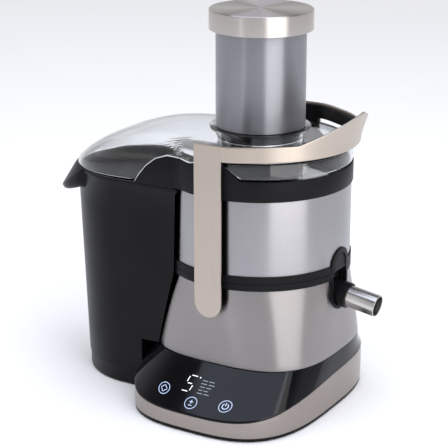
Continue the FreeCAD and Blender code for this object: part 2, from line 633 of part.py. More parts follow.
def body_room(wall):
    """Space kept for the base, the motor housing and the bowl, whose outlines differ."""
    around_base = base_prism(BELOW, HOUSING_BOTTOM + wall, -BASE_CLEAR - wall)
    foot_z = Vector(0, 0, HOUSING_BOTTOM - 1.0)
    neck = Part.makeCone(HOUSING_CORNER_R + wall, BODY_SIDE_R + wall, HOUSING_TOP - foot_z.z, foot_z)
    return [disc(BODY_SIDE_R + wall, HOUSING_TOP, FAR), neck, around_base]


def container_solid(wall, floor):
    step_r = CONTAINER_FOOT_R - wall
    ledge_r = CONTAINER_FOOT_R + 1.0 - wall
    foot = loft([stadium(floor, step_r), stadium(CONTAINER_STEP_Z, step_r)], True)
    body = loft([stadium(CONTAINER_STEP_Z, ledge_r), stadium(RIM_Z, CONTAINER_R - wall)], True)
    solid = foot.fuse(body)
    for room in body_room(wall):
        solid = solid.cut(room)
    return solid


GRIP_DROP = 29.0
GRIP_PLAN = [(0, 96.0), (20, 96.0), (27, 94.8), (34, 92.4), (41, 89.2), (48, 85.2), (54, 81.5), (60, 76.0)]


def grip_lip():
    """The flared lip that the container is pulled by, tapered at both ends."""
    reach = GRIP_PLAN[0][1]
    top = RIM_Z - 0.2
    flare = [(CONTAINER_R - 1.5, top), (CONTAINER_R + 1.5, top - 0.8), (CONTAINER_R + 4, top - 4)]
    flare += [(reach, top - GRIP_DROP), (reach - 2.0, top - GRIP_DROP - 1.5), (reach - 5, top - GRIP_DROP - 1)]
    flare += [(CONTAINER_R + 2, top - 19), (CONTAINER_R - 1.5, top - 16)]
    spread = GRIP_PLAN[-1][0]
    lip = revolve(flare, 2 * spread, Vector(CONTAINER_X, 0, 0))
    lip.rotate(Vector(CONTAINER_X, 0, 0), UP, 180.0 - spread)
    outline = [(-angle, radius) for angle, radius in reversed(GRIP_PLAN[1:])]
    outline += [(-7, reach + 1.0), (7, reach + 1.0)] + GRIP_PLAN[1:] + [(0, CONTAINER_R * 0.4)]
    corners = []
    for angle, radius in outline:
        turn = math.radians(180.0 + angle)
        corners.append(Vector(CONTAINER_X + radius * math.cos(turn), radius * math.sin(turn), 150))
    plan = Part.Face(Part.makePolygon(corners + [corners[0]]))
    return lip.common(plan.extrude(Vector(0, 0, 100)))


def make_container():
    outer = container_solid(0.0, 0.4)
    hollow = container_solid(CONTAINER_WALL, 0.4 + CONTAINER_WALL)
    pieces["pulp_container"] = outer.fuse(grip_lip()).cut(hollow)


# ---- export --------------------------------------------------------------------------------------------
def footprint_shift():
    """Move from the spindle axis to the middle of the whole footprint."""
    front = BASE_MID_Y - BASE_HALF_Y
    back = BASE_MID_Y + BASE_HALF_Y + 1.0
    return Vector(-(GRIP_X + SPOUT_TIP_X + 1.6) / 2, -(front + back) / 2, 0)


def main():
    make_base()
    make_base_hardware()
    make_controls()
    make_motor()
    make_rotor()
    make_housing()
    make_pivots()
    make_arm()
    make_bowl()
    make_basket()
    make_lid()
    make_pusher()
    make_container()
    os.makedirs("parts", exist_ok=True)
    shift = footprint_shift()
    print("spindle axis at", round(shift.x, 3), round(shift.y, 3))
    for name, shape in pieces.items():
        shape.translated(shift).exportStep("parts/%s.step" % name)


main()
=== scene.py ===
import math

import bmesh
import bpy
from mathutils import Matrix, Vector


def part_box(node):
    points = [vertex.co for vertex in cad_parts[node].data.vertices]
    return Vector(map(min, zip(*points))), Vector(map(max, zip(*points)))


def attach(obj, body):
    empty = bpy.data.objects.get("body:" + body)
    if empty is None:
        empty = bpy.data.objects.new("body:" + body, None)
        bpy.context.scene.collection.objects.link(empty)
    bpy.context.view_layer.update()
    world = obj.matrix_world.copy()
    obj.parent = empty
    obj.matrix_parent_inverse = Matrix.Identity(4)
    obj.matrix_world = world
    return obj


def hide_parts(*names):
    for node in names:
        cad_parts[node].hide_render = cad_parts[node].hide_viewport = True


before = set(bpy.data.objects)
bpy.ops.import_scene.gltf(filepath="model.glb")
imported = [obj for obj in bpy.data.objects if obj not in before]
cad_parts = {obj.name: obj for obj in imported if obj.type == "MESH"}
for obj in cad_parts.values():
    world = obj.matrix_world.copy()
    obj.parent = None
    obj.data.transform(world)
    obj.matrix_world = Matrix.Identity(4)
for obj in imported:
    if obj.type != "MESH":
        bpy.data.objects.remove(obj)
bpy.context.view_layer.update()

# All shapes are drawn in millimetres about the upright spindle, with the table at z = 0, and put in
# their place by mesh_piece(). +X is the juice spout's side, -Y the user's side.
MM = 0.001
bowl_low, bowl_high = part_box("bowl_shell")
SPINDLE_X = (bowl_low.x + bowl_high.x) / 2
SPINDLE_Y = (bowl_low.y + bowl_high.y) / 2


def reach(node, side):
    """How far a CAD node reaches from the spindle, in mm: side is +x, -x, +y, -y, +z or -z."""
    low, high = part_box(node)
    corner = high if side[0] == "+" else low
    offset = {"x": SPINDLE_X, "y": SPINDLE_Y, "z": 0.0}[side[1]]
    return (getattr(corner, side[1]) - offset) / MM


# ---- sizes, from the frame -----------------------------------------------------------------------------
BASE_HALF_X = reach("base_band", "+x")
BASE_FRONT = reach("base_band", "-y")
BASE_BACK = reach("base_band", "+y")
BASE_HALF_Y = (BASE_BACK - BASE_FRONT) / 2
BASE_MID_Y = (BASE_BACK + BASE_FRONT) / 2
BASE_ROUNDNESS = 3.1
BAND_BOTTOM = reach("base_band", "-z")
BAND_SIDE_Z = reach("base_band", "+z")
BAND_RISE = [(-132.0, 17.5), (-116.0, 20.5), (-103.0, 23.5), (-85.0, 28.0), (-59.0, 32.2), (-26.0, 35.2),
             (11.0, 36.5), (200.0, 36.5)]
DECK_LIP = 1.3
HOUSING_BOTTOM = reach("motor_housing", "-z")
HOUSING_TOP = reach("motor_housing", "+z")
HOUSING_HALF = reach("motor_housing", "+y")
HOUSING_R = 85.5
HOUSING_ROUNDNESS = 3.0
SHELL_R = reach("bowl_shell", "+y")
SHELL_BOTTOM = reach("bowl_shell", "-z")
SHELL_TOP = reach("bowl_shell", "+z")
RING_R = reach("bowl_top_ring", "+x")
RING_TOP = 231.0
RIM_Z = reach("pulp_container", "+z")
LID_R = reach("lid_cover", "+x")
LID_TOP = 252.0
CHUTE_R = 40.3
CHUTE_BORE_R = 37.5
CHUTE_TOP = reach("lid_cover", "+z")
CHUTE_LOW = reach("lid_cover", "-z")
FLANGE_R = 47.4
SLEEVE_R = reach("chute_sleeve", "+y")
SLEEVE_LOW = reach("chute_sleeve", "-z")
SLEEVE_HIGH = reach("chute_sleeve", "+z")
CAP_R = reach("pusher_cap", "+y")
CAP_LOW = reach("pusher_cap", "-z")
CAP_HIGH = reach("pusher_cap", "+z")
PUSHER_R = reach("pusher_body", "+y")
PUSHER_LOW = reach("pusher_body", "-z")
PUSHER_HIGH = reach("pusher_body", "+z")
LEG_OUTER_Y = reach("arm_cover", "+y")
LEG_HALF = -reach("arm_cover", "-x")
PIVOT_Z = reach("arm_cover", "-z") + LEG_HALF
HOOP_R = 93.5
HOOP_LOW = 250.5
HOOP_HIGH = 264.6
LIP_TIP_R = reach("arm_cover", "+x")
LIP_TIP_Z = reach("arm_cover", "+z")
LIP_SPREAD = 39.0
PLATE = 2.2
CONTAINER_X = -116.0
CONTAINER_R = 77.0
CONTAINER_FOOT_R = 69.5
ARCH_HALF = 16.0
ARCH_SPRING = 140.0
SPOUT_TIP_X = 126.0
SPOUT_TIP_Z = 105.4
SPOUT_FALL = 0.16
SPOUT_R = reach("spout_tube", "+y")
SOCKET_R = reach("spout_socket", "+y")
SOCKET_END_X = 97.0
DUCT_Y = CONTAINER_R
SEAM = [(27.0, 231.0), (10.0, 245.0), (-10.0, 244.5), (-27.0, 240.5), (-40.0, 241.5), (-54.0, 242.0),
        (-67.0, 237.5), (-78.0, 229.0), (-86.0, 219.5), (-91.0, 211.9)]


# ---- mesh helpers --------------------------------------------------------------------------------------
def mesh_piece(name, points, faces, sharp=38.0):
    mesh = bpy.data.meshes.new(name)
    placed = [((x * MM) + SPINDLE_X, (y * MM) + SPINDLE_Y, z * MM) for x, y, z in points]
    mesh.from_pydata(placed, [], faces)
    work = bmesh.new()
    work.from_mesh(mesh)
    bmesh.ops.remove_doubles(work, verts=work.verts, dist=0.00001)
    bmesh.ops.recalc_face_normals(work, faces=work.faces)
    work.to_mesh(mesh)
    work.free()
    mesh.polygons.foreach_set("use_smooth", [True] * len(mesh.polygons))
    mesh.set_sharp_from_angle(angle=math.radians(sharp))
    piece = bpy.data.objects.new(name, mesh)
    bpy.context.scene.collection.objects.link(piece)
    return piece


def grid_faces(rows, columns, wrap_rows=False, wrap_columns=True):
    faces = []
    for i in range(rows if wrap_rows else rows - 1):
        for j in range(columns if wrap_columns else columns - 1):
            ni, nj = (i + 1) % rows, (j + 1) % columns
            faces.append((i * columns + j, i * columns + nj, ni * columns + nj, ni * columns + j))
    return faces


def rounded(corners, radius, closed=True):
    """The corners of a flat outline, each replaced by a small arc of about that radius."""
    result = []
    corners = [c for i, c in enumerate(corners) if i == 0 or math.dist(c, corners[i - 1]) > 0.0001]
    count = len(corners)
    for i, corner in enumerate(corners):
        if not closed and i in (0, count - 1):
            result.append(tuple(corner))
            continue
        here = Vector(corner)
        before, after = Vector(corners[i - 1]), Vector(corners[(i + 1) % count])
        back, ahead = before - here, after - here
        turn = math.pi - back.angle(ahead)
        if turn < 0.05:
            result.append(tuple(here))
            continue
        cut = min(radius * math.tan(turn / 2), 0.45 * back.length, 0.45 * ahead.length)
        start, end = here + back.normalized() * cut, here + ahead.normalized() * cut
        steps = max(2, int(turn / 0.3))
        for k in range(steps + 1):
            t = k / steps
            result.append(tuple(start * (1 - t) ** 2 + here * 2 * t * (1 - t) + end * t * t))
    return result


def even_path(path, count):
    """The same open path as count points, evenly spaced along it."""
    lengths = [0.0]
    for before, after in zip(path, path[1:]):
        lengths.append(lengths[-1] + math.dist(before, after))
    result = []
    row = 0
    for i in range(count):
        target = lengths[-1] * i / (count - 1)
        while row < len(path) - 2 and lengths[row + 1] < target:
            row += 1
        t = (target - lengths[row]) / max(1e-9, lengths[row + 1] - lengths[row])
        result.append(tuple(a + (b - a) * min(1.0, t) for a, b in zip(path[row], path[row + 1])))
    return result


def lathe(name, outline, steps=180):
    """A closed outline of (radius, z) turned about an upright axis."""
    points = []
    for radius, z in outline:
        for i in range(steps):
            turn = 2 * math.pi * i / steps
            points.append((radius * math.cos(turn), radius * math.sin(turn), z))
    return mesh_piece(name, points, grid_faces(len(outline), steps, wrap_rows=True))


def stack(name, rings, closed_stack=False, capped=False, sharp=38.0):
    """A skin over closed rings of equal count, from first to last, with flat ends where it is capped."""
    count = len(rings[0])
    faces = grid_faces(len(rings), count, wrap_rows=closed_stack)
    if capped:
        faces += [tuple(range(count)), tuple(range((len(rings) - 1) * count, len(rings) * count))]
    return mesh_piece(name, [point for ring in rings for point in ring], faces, sharp)


def apply_modifiers(piece, sharp):
    depsgraph = bpy.context.evaluated_depsgraph_get()
    mesh = bpy.data.meshes.new_from_object(piece.evaluated_get(depsgraph))
    piece.modifiers.clear()
    piece.data = mesh
    mesh.polygons.foreach_set("use_smooth", [True] * len(mesh.polygons))
    mesh.set_sharp_from_angle(angle=math.radians(sharp))


def thicken(piece, thickness, bevel=0.0, sharp=38.0, outwards=False):
    """Give an open skin a wall on its inner side, with softened edges."""
    solid = piece.modifiers.new("wall", "SOLIDIFY")
    solid.thickness = thickness * MM
    solid.offset = 1.0 if outwards else -1.0
    solid.use_even_offset = True
    if bevel:
        soften(piece, bevel)
    apply_modifiers(piece, sharp)


def soften(piece, width):
    edge = piece.modifiers.new("edge", "BEVEL")
    edge.width = width * MM
    edge.segments = 2
    edge.limit_method = "ANGLE"
    edge.angle_limit = math.radians(40.0)
    edge.harden_normals = False


def carve(piece, cutter, sharp=38.0):
    cut = piece.modifiers.new("cut", "BOOLEAN")
    cut.object = cutter
    cut.operation = "DIFFERENCE"
    cut.solver = "EXACT"
    bpy.context.view_layer.update()
    apply_modifiers(piece, sharp)
    bpy.data.objects.remove(cutter)


def squircle_radius(turn, half_x, half_y, roundness):
    across = abs(math.cos(turn) / half_x) ** roundness
    along = abs(math.sin(turn) / half_y) ** roundness
    return (across + along) ** (-1 / roundness)


def squircle(half_x, half_y, mid_y, z, roundness, steps=160):
    ring = []
    for i in range(steps):
        turn = 2 * math.pi * i / steps
        radius = squircle_radius(turn, half_x, half_y, roundness)
        ring.append((radius * math.cos(turn), mid_y + radius * math.sin(turn), z))
    return ring


def base_ring(z, inset=0.0):
    return squircle(BASE_HALF_X - inset, BASE_HALF_Y - inset, BASE_MID_Y, z, BASE_ROUNDNESS)


def housing_ring(z, inset=0.0):
    up = (z - HOUSING_BOTTOM) / (HOUSING_TOP - HOUSING_BOTTOM)
    half = HOUSING_HALF + (HOUSING_R - HOUSING_HALF) * up - inset
    return squircle(half, half, 0.0, z, HOUSING_ROUNDNESS + (2.0 - HOUSING_ROUNDNESS) * up)


def seam_height(x):
    """Height of the line where the lid meets the black ring and the duct."""
    if x >= SEAM[0][0]:
        return SEAM[0][1]
    for (x1, z1), (x0, z0) in zip(SEAM, SEAM[1:]):
        if x0 <= x <= x1:
            t = (x - x0) / (x1 - x0)
            return z0 + (z1 - z0) * t
    return SEAM[-1][1]


# ---- materials -----------------------------------------------------------------------------------------
class Nodes:
    """Small wrapper that adds and links shader nodes."""

    def __init__(self, name, color, roughness, metallic=0.0):
        self.material = bpy.data.materials.new(name)
        self.material.use_nodes = True
        self.tree = self.material.node_tree
        self.shader = self.tree.nodes["Principled BSDF"]
        self.set(self.shader, "Base Color", (*color, 1.0))
        self.set(self.shader, "Roughness", roughness)
        self.set(self.shader, "Metallic", metallic)
        self.place = self.tree.nodes.new("ShaderNodeTexCoord").outputs["Object"]

    def set(self, node, socket, value):
        node.inputs[socket].default_value = value

    def link(self, output, node, socket):
        self.tree.links.new(output, node.inputs[socket])

    def stretch(self, scale, source=None):
        mapping = self.tree.nodes.new("ShaderNodeMapping")
        self.set(mapping, "Scale", scale)
        self.link(source or self.place, mapping, "Vector")
        return mapping.outputs["Vector"]

    def noise(self, vector, scale, detail=3.0, rough=0.5):
        node = self.tree.nodes.new("ShaderNodeTexNoise")
        self.set(node, "Scale", scale)
        self.set(node, "Detail", detail)
        self.set(node, "Roughness", rough)
        self.link(vector, node, "Vector")
        return node.outputs["Fac"]

    def range(self, value, low, high, from_low=0.3, from_high=0.7):
        node = self.tree.nodes.new("ShaderNodeMapRange")
        self.set(node, "From Min", from_low)
        self.set(node, "From Max", from_high)
        self.set(node, "To Min", low)
        self.set(node, "To Max", high)
        self.link(value, node, "Value")
        return node.outputs["Result"]

    def mix(self, factor, first, second):
        node = self.tree.nodes.new("ShaderNodeMix")
        node.data_type = "RGBA"
        node.inputs["A"].default_value = (*first, 1.0)
        node.inputs["B"].default_value = (*second, 1.0)
        self.tree.links.new(factor, node.inputs["Factor"])
        return node.outputs["Result"]

    def bump(self, height, strength, distance=0.0002):
        node = self.tree.nodes.new("ShaderNodeBump")
        self.set(node, "Strength", strength)
        self.set(node, "Distance", distance)
        self.link(height, node, "Height")
        self.link(node.outputs["Normal"], self.shader, "Normal")


def polar_place(nodes):
    """Distance from the spindle and height, so that brush lines run round the part."""
    split = nodes.tree.nodes.new("ShaderNodeSeparateXYZ")
    nodes.link(nodes.place, split, 0)
    shift = []
    for axis, centre in (("X", SPINDLE_X), ("Y", SPINDLE_Y)):
        node = nodes.tree.nodes.new("ShaderNodeMath")
        node.operation = "SUBTRACT"
        nodes.link(split.outputs[axis], node, 0)
        node.inputs[1].default_value = centre
        shift.append(node.outputs[0])
    join = nodes.tree.nodes.new("ShaderNodeCombineXYZ")
    nodes.link(shift[0], join, 0)
    nodes.link(shift[1], join, 1)
    length = nodes.tree.nodes.new("ShaderNodeVectorMath")
    length.operation = "LENGTH"
    nodes.link(join.outputs[0], length, 0)
    turn = nodes.tree.nodes.new("ShaderNodeMath")
    turn.operation = "ARCTAN2"
    nodes.link(shift[1], turn, 0)
    nodes.link(shift[0], turn, 1)
    polar = nodes.tree.nodes.new("ShaderNodeCombineXYZ")
    nodes.link(length.outputs["Value"], polar, 0)
    nodes.link(turn.outputs[0], polar, 1)
    nodes.link(split.outputs["Z"], polar, 2)
    return polar.outputs[0]


def brushed(name, color, roughness, grain, round_brush=False, anisotropy=0.0):
    """Steel with fine brush lines. grain is how the noise is stretched along and across the lines."""
    nodes = Nodes(name, color, roughness, 1.0)
    vector = polar_place(nodes) if round_brush else nodes.place
    lines = nodes.noise(nodes.stretch(grain, vector), 1.0, 4.0, 0.6)
    cloud = nodes.noise(nodes.place, 14.0, 3.0)
    darker = tuple(c * 0.9 for c in color)
    lighter = tuple(min(1.0, c * 1.06) for c in color)
    tint = nodes.mix(nodes.range(lines, 0.0, 1.0), darker, lighter)
    nodes.link(tint, nodes.shader, "Base Color")
    blend = nodes.tree.nodes.new("ShaderNodeMath")
    blend.operation = "ADD"
    nodes.link(nodes.range(lines, -0.05, 0.05), blend, 0)
    nodes.link(nodes.range(cloud, roughness - 0.03, roughness + 0.03), blend, 1)
    nodes.link(blend.outputs[0], nodes.shader, "Roughness")
    nodes.bump(lines, 0.12, 0.00004)
    if anisotropy:
        nodes.set(nodes.shader, "Anisotropic", anisotropy)
        nodes.set(nodes.shader, "Anisotropic Rotation", 0.25)
        tangent = nodes.tree.nodes.new("ShaderNodeTangent")
        tangent.direction_type = "RADIAL"
        tangent.axis = "Z"
        nodes.link(tangent.outputs["Tangent"], nodes.shader, "Tangent")
    return nodes.material


def moulded(name, color, roughness, grain=1800.0, strength=0.25, level=0.3):
    """Black moulded plastic with a fine spark texture and faint uneven gloss."""
    nodes = Nodes(name, color, roughness)
    spark = nodes.noise(nodes.place, grain, 2.0)
    cloud = nodes.noise(nodes.place, 22.0, 4.0)
    lighter = tuple(c * 1.35 + 0.002 for c in color)
    nodes.link(nodes.mix(nodes.range(cloud, 0.0, 1.0), color, lighter), nodes.shader, "Base Color")
    nodes.link(nodes.range(cloud, roughness - 0.04, roughness + 0.05), nodes.shader, "Roughness")
    nodes.bump(spark, strength, 0.00005)
    nodes.set(nodes.shader, "Specular IOR Level", level)
    return nodes.material


def clear_plastic(name, color, roughness=0.02):
    nodes = Nodes(name, color, roughness)
    nodes.set(nodes.shader, "Transmission Weight", 1.0)
    nodes.set(nodes.shader, "IOR", 1.49)
    haze = nodes.noise(nodes.place, 30.0, 3.0)
    nodes.link(nodes.range(haze, roughness, roughness + 0.03), nodes.shader, "Roughness")
    nodes.bump(haze, 0.03, 0.0005)
    return nodes.material


def glowing(name, color, strength):
    nodes = Nodes(name, (0.0, 0.0, 0.0), 0.3)
    nodes.set(nodes.shader, "Emission Color", (*color, 1.0))
    uneven = nodes.noise(nodes.place, 300.0, 2.0)
    nodes.link(nodes.range(uneven, strength * 0.92, strength * 1.08), nodes.shader, "Emission Strength")
    return nodes.material


ROUND_GRAIN = (6000.0, 2.0, 9000.0)
steel_arm = brushed("arm_steel", (0.50, 0.435, 0.375), 0.34, (5200.0, 5200.0, 30.0))
steel_cap = brushed("cap_steel", (0.60, 0.56, 0.53), 0.32, ROUND_GRAIN, True, 0.93)
steel_bowl = brushed("bowl_steel", (0.40, 0.39, 0.405), 0.32, ROUND_GRAIN, True, 0.93)
steel_housing = brushed("housing_steel", (0.345, 0.325, 0.32), 0.33, ROUND_GRAIN, True, 0.93)
steel_band = brushed("band_steel", (0.34, 0.30, 0.275), 0.28, (30.0, 30.0, 5200.0))
steel_sleeve = brushed("sleeve_steel", (0.37, 0.37, 0.40), 0.40, ROUND_GRAIN, True, 0.96)
steel_spout = brushed("spout_steel", (0.60, 0.58, 0.56), 0.24, (5200.0, 60.0, 60.0))
steel_mesh = brushed("mesh_steel", (0.5, 0.5, 0.5), 0.3, ROUND_GRAIN, True)
black_satin = moulded("black_satin", (0.0035, 0.0035, 0.004), 0.34, level=0.12)
black_ring = moulded("black_ring", (0.005, 0.005, 0.006), 0.42, level=0.11)
black_soft = moulded("black_soft", (0.005, 0.005, 0.006), 0.5, level=0.12)
black_gloss = moulded("piano_black", (0.002, 0.002, 0.003), 0.06, 900.0, 0.01, level=0.3)
rubber = moulded("foot_rubber", (0.012, 0.012, 0.012), 0.75, 900.0, 0.5, level=0.2)
lid_clear = clear_plastic("lid_clear", (0.97, 0.985, 1.0))
# painted highlight: opaque light grey standing for the shine along the clear lid's lower edge
lid_edge_painted_highlight = moulded("lid_edge", (0.62, 0.64, 0.67), 0.25, 600.0, 0.05, level=0.5)
icon_glow = glowing("icon_glow", (0.55, 0.68, 1.0), 1.3)
digit_glow = glowing("digit_glow", (0.95, 0.98, 1.0), 1.5)
label_glow = glowing("label_glow", (0.75, 0.85, 1.0), 0.5)
copper = brushed("enamelled_copper", (0.72, 0.33, 0.16), 0.35, (900.0, 900.0, 900.0))
iron = brushed("core_iron", (0.22, 0.22, 0.23), 0.5, (60.0, 60.0, 4000.0))
zinc = brushed("plated_zinc", (0.55, 0.56, 0.58), 0.4, (400.0, 400.0, 400.0))
board = moulded("circuit_board", (0.01, 0.10, 0.04), 0.4, 500.0, 0.4)


def finish_piece(piece, material, body, slot, *replaced):
    piece.data.materials.clear()
    piece.data.materials.append(material)
    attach(piece, body)
    if replaced:
        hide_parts(*replaced)
    return piece


# ---- base ----------------------------------------------------------------------------------------------
def along_table(table, value):
    """The table's second column at a value of its first, smoothed between its rows."""
    if value <= table[0][0]:
        return table[0][1]
    for row, (low, high) in enumerate(zip(table, table[1:])):
        if low[0] <= value <= high[0]:
            before = table[max(0, row - 1)]
            after = table[min(len(table) - 1, row + 2)]
            span = high[0] - low[0]
            t = (value - low[0]) / span
            start = (high[1] - before[1]) / (high[0] - before[0]) * span
            end = (after[1] - low[1]) / (after[0] - low[0]) * span
            h00, h10 = 2 * t ** 3 - 3 * t ** 2 + 1, t ** 3 - 2 * t ** 2 + t
            h01, h11 = -2 * t ** 3 + 3 * t ** 2, t ** 3 - t ** 2
            return h00 * low[1] + h10 * start + h01 * high[1] + h11 * end
    return table[-1][1]


def band_top(y):
    return min(BAND_SIDE_Z, along_table(BAND_RISE, y))


def make_band():
    wall = 0.8
    outer = base_ring(0.0)
    inner = base_ring(0.0, wall)
    rings = []
    for step in range(7):
        up = step / 6
        ring = []
        for (x, y, _), (ix, iy, _) in zip(outer, inner):
            z = BAND_BOTTOM + (band_top(y) - BAND_BOTTOM) * up
            pull = 0.35 if step in (0, 6) else 0.0
            ring.append((x + (ix - x) * pull, y + (iy - y) * pull, z))
        rings.append(ring)
    top = [(x, y, band_top(y)) for x, y, _ in inner]
    low = [(x, y, BAND_BOTTOM) for x, y, _ in inner]
    band = stack("base_band_skin", rings + [top, low], closed_stack=True, sharp=50)
    finish_piece(band, steel_band, "root", "band_steel", "base_band")


def deck_height_ring(up, inset):
    """A ring on the deck's slope: 0 at the band, 1 at the motor housing."""
    low = [(x, y, band_top(y) + DECK_LIP) for x, y, _ in base_ring(0.0, inset)]
    high = housing_ring(HOUSING_BOTTOM, inset)
    ring = []
    for (x0, y0, z0), (x1, y1, z1) in zip(low, high):
        ring.append((x0 + (x1 - x0) * up, y0 + (y1 - y0) * up, z0 + (z1 - z0) * up))
    return ring


def lowered(ring, drop):
    return [(x, y, z - drop) for x, y, z in ring]


def make_deck():
    rings = [base_ring(5.0, 1.0)]
    rings += [lowered(deck_height_ring(0.0, 1.0), drop) for drop in (3.0, 1.2)]
    rings += [lowered(deck_height_ring(0.0, 0.3), 1.1), lowered(deck_height_ring(0.0, 0.05), 0.5)]
    rings += [deck_height_ring(up, 0.3) for up in (0.0, 0.03, 0.1, 0.25, 0.4, 0.6, 0.8, 0.95, 0.985, 1.0)]
    top_z = HOUSING_BOTTOM - 0.1
    rings.append([(x * 0.97, y * 0.97, top_z) for x, y, _ in rings[-1]])
    rings.append([(x * 0.80, y * 0.80, top_z) for x, y, _ in rings[-2]])
    rings.append([(x, y, top_z - 2.4) for x, y, _ in rings[-1]])
    rings.append(lowered(deck_height_ring(0.98, 3.4), 2.6))
    rings.append(lowered(deck_height_ring(0.0, 3.4), 2.6))
    rings.append(base_ring(5.0, 3.4))
    deck = stack("deck_cover_skin", rings, closed_stack=True, sharp=50)
    finish_piece(deck, black_gloss, "root", "piano_black", "deck_cover")


def panel_point(x, up):
    """The point on the deck's front slope at that x, up the slope from 0 to 1, and the way it faces."""

    def at(turn, share):
        r0 = squircle_radius(turn, BASE_HALF_X - 0.3, BASE_HALF_Y - 0.3, BASE_ROUNDNESS)
        r1 = squircle_radius(turn, HOUSING_HALF - 0.3, HOUSING_HALF - 0.3, HOUSING_ROUNDNESS)
        y0 = BASE_MID_Y + r0 * math.sin(turn)
        low = Vector((r0 * math.cos(turn), y0, band_top(y0) + DECK_LIP))
        high = Vector((r1 * math.cos(turn), r1 * math.sin(turn), HOUSING_BOTTOM))
        return low + (high - low) * share

    left, right = math.radians(200), math.radians(340)
    for _ in range(40):
        middle = (left + right) / 2
        if at(middle, up).x < x:
            left = middle
        else:
            right = middle
    across = at(middle + 0.01, up) - at(middle - 0.01, up)
    along = at(middle, up + 0.01) - at(middle, up - 0.01)
    return at(middle, up), across.cross(along).normalized()


SLOPE_LENGTH = (panel_point(0.0, 1.0)[0] - panel_point(0.0, 0.0)[0]).length


def on_panel(x, v, lift):
    """x mm to the right and v mm up the slope, lifted off the panel."""
    point, facing = panel_point(x, v / SLOPE_LENGTH)
    return tuple(point + facing * lift)


def ribbon(name, path, width, closed=False, lift=0.06, height=0.1):
    """A flat raised line along a path of (x, v) on the panel."""
    left, right = [], []
    count = len(path)
    for i, (x, v) in enumerate(path):
        before = path[i - 1] if closed or i else path[i]
        after = path[(i + 1) % count] if closed or i < count - 1 else path[i]
        run = Vector((after[0] - before[0], after[1] - before[1])).normalized() * width / 2
        left.append((x - run.y, v + run.x))
        right.append((x + run.y, v - run.x))
    rows = []
    for (lx, lv), (rx, rv) in zip(left, right):
        rows.append([on_panel(lx, lv, lift), on_panel(lx, lv, lift + height),
                     on_panel(rx, rv, lift + height), on_panel(rx, rv, lift)])
    faces = grid_faces(count, 4, wrap_rows=closed)
    if not closed:
        faces += [(0, 1, 2, 3), tuple(4 * (count - 1) + k for k in range(4))]
    return mesh_piece(name, [point for row in rows for point in row], faces, 30)


def arc_path(x, v, radius, start=0.0, end=360.0, steps=40):
    path = []
    for i in range(steps if end - start >= 360 else steps + 1):
        turn = math.radians(start + (end - start) * i / steps)
        path.append((x + radius * math.cos(turn), v + radius * math.sin(turn)))
    return path


def join(name, pieces):
    bpy.ops.object.select_all(action="DESELECT")
    for piece in pieces:
        piece.select_set(True)
    bpy.context.view_layer.objects.active = pieces[0]
    bpy.ops.object.join()
    pieces[0].name = name
    pieces[0].data.name = name
    return pieces[0]


ICON_R = 6.0
LEFT_ICON = (-35.3, 18.3)
MIDDLE_ICON = (-1.6, 11.6)
POWER_ICON = (32.4, 15.5)


def make_icons():
    rings = []
    for number, (x, v) in enumerate((LEFT_ICON, MIDDLE_ICON, POWER_ICON)):
        rings.append(ribbon("ring_%d" % number, arc_path(x, v, ICON_R), 0.62, closed=True))
    x, v = POWER_ICON
    rings.append(ribbon("power_arc", arc_path(x, v, 2.9, 125, 415, 24), 0.8))
    rings.append(ribbon("power_bar", [(x, v + 0.4), (x, v + 3.6)], 0.8))
    x, v = MIDDLE_ICON
    rings.append(ribbon("plus_across", [(x - 1.9, v + 1.2), (x + 1.9, v + 1.2)], 0.7))
    rings.append(ribbon("plus_up", [(x, v - 0.7), (x, v + 3.1)], 0.7))
    rings.append(ribbon("minus", [(x - 1.9, v - 2.4), (x + 1.9, v - 2.4)], 0.7))
    x, v = LEFT_ICON
    for turn in range(0, 360, 90):
        side = arc_path(x + 1.7 * math.cos(math.radians(turn)), v + 1.7 * math.sin(math.radians(turn)),
                        1.5, turn - 100, turn + 100, 12)
        rings.append(ribbon("swirl_%d" % turn, side, 0.6))
    finish_piece(join("panel_icons", rings), icon_glow, "root", "display")


def make_digit():
    """A lit seven-segment 5, beside five short bars that stand for the list of programmes."""
    slant = 0.12
    low, high, left, right = 22.0, 39.0, -16.6, -9.0
    middle = (low + high) / 2
    gap = 1.5

    def lean(x, v):
        return (x + slant * (v - low), v)

    segments = [
        [lean(right, high), lean(left + gap, high)], [lean(left, high - gap), lean(left, middle + gap)],
        [lean(left + gap, middle), lean(right - gap, middle)],
        [lean(right, middle - gap), lean(right, low + gap)],
        [lean(right - gap, low), lean(left, low)]]
    lit = [ribbon("segment_%d" % i, segment, 0.85) for i, segment in enumerate(segments)]
    lit.append(ribbon("marker", [(-4.6, 38.4), (-3.4, 38.4)], 1.3))
    finish_piece(join("panel_digit", lit), digit_glow, "root", "display")
    bars = []
    for row, length in enumerate((13.0, 14.5, 12.5, 10.5, 13.0)):
        v = 36.4 - 3.4 * row
        for dash in range(2):
            start = -0.5 + dash * length * 0.55
            bars.append(ribbon("bar_%d_%d" % (row, dash), [(start, v), (start + length * 0.42, v)], 0.75))
    finish_piece(join("panel_bars", bars), label_glow, "root", "display")


# ---- motor housing -------------------------------------------------------------------------------------
def round_slot(name, half, low_centre, high_centre, x0, x1, steps=24):
    """A prism along X whose outline has round ends above and below."""
    outline = []
    for i in range(steps + 1):
        turn = math.pi * i / steps
        outline.append((half * math.cos(turn), high_centre + half * math.sin(turn)))
    for i in range(steps + 1):
        turn = math.pi + math.pi * i / steps
        outline.append((half * math.cos(turn), low_centre + half * math.sin(turn)))
    rings = [[(x, y, z) for y, z in outline] for x in (x0, x1)]
    return stack(name, rings, capped=True)


SPOUT_WALL_Z = SPOUT_TIP_Z + SPOUT_FALL * (SPOUT_TIP_X - HOUSING_R)


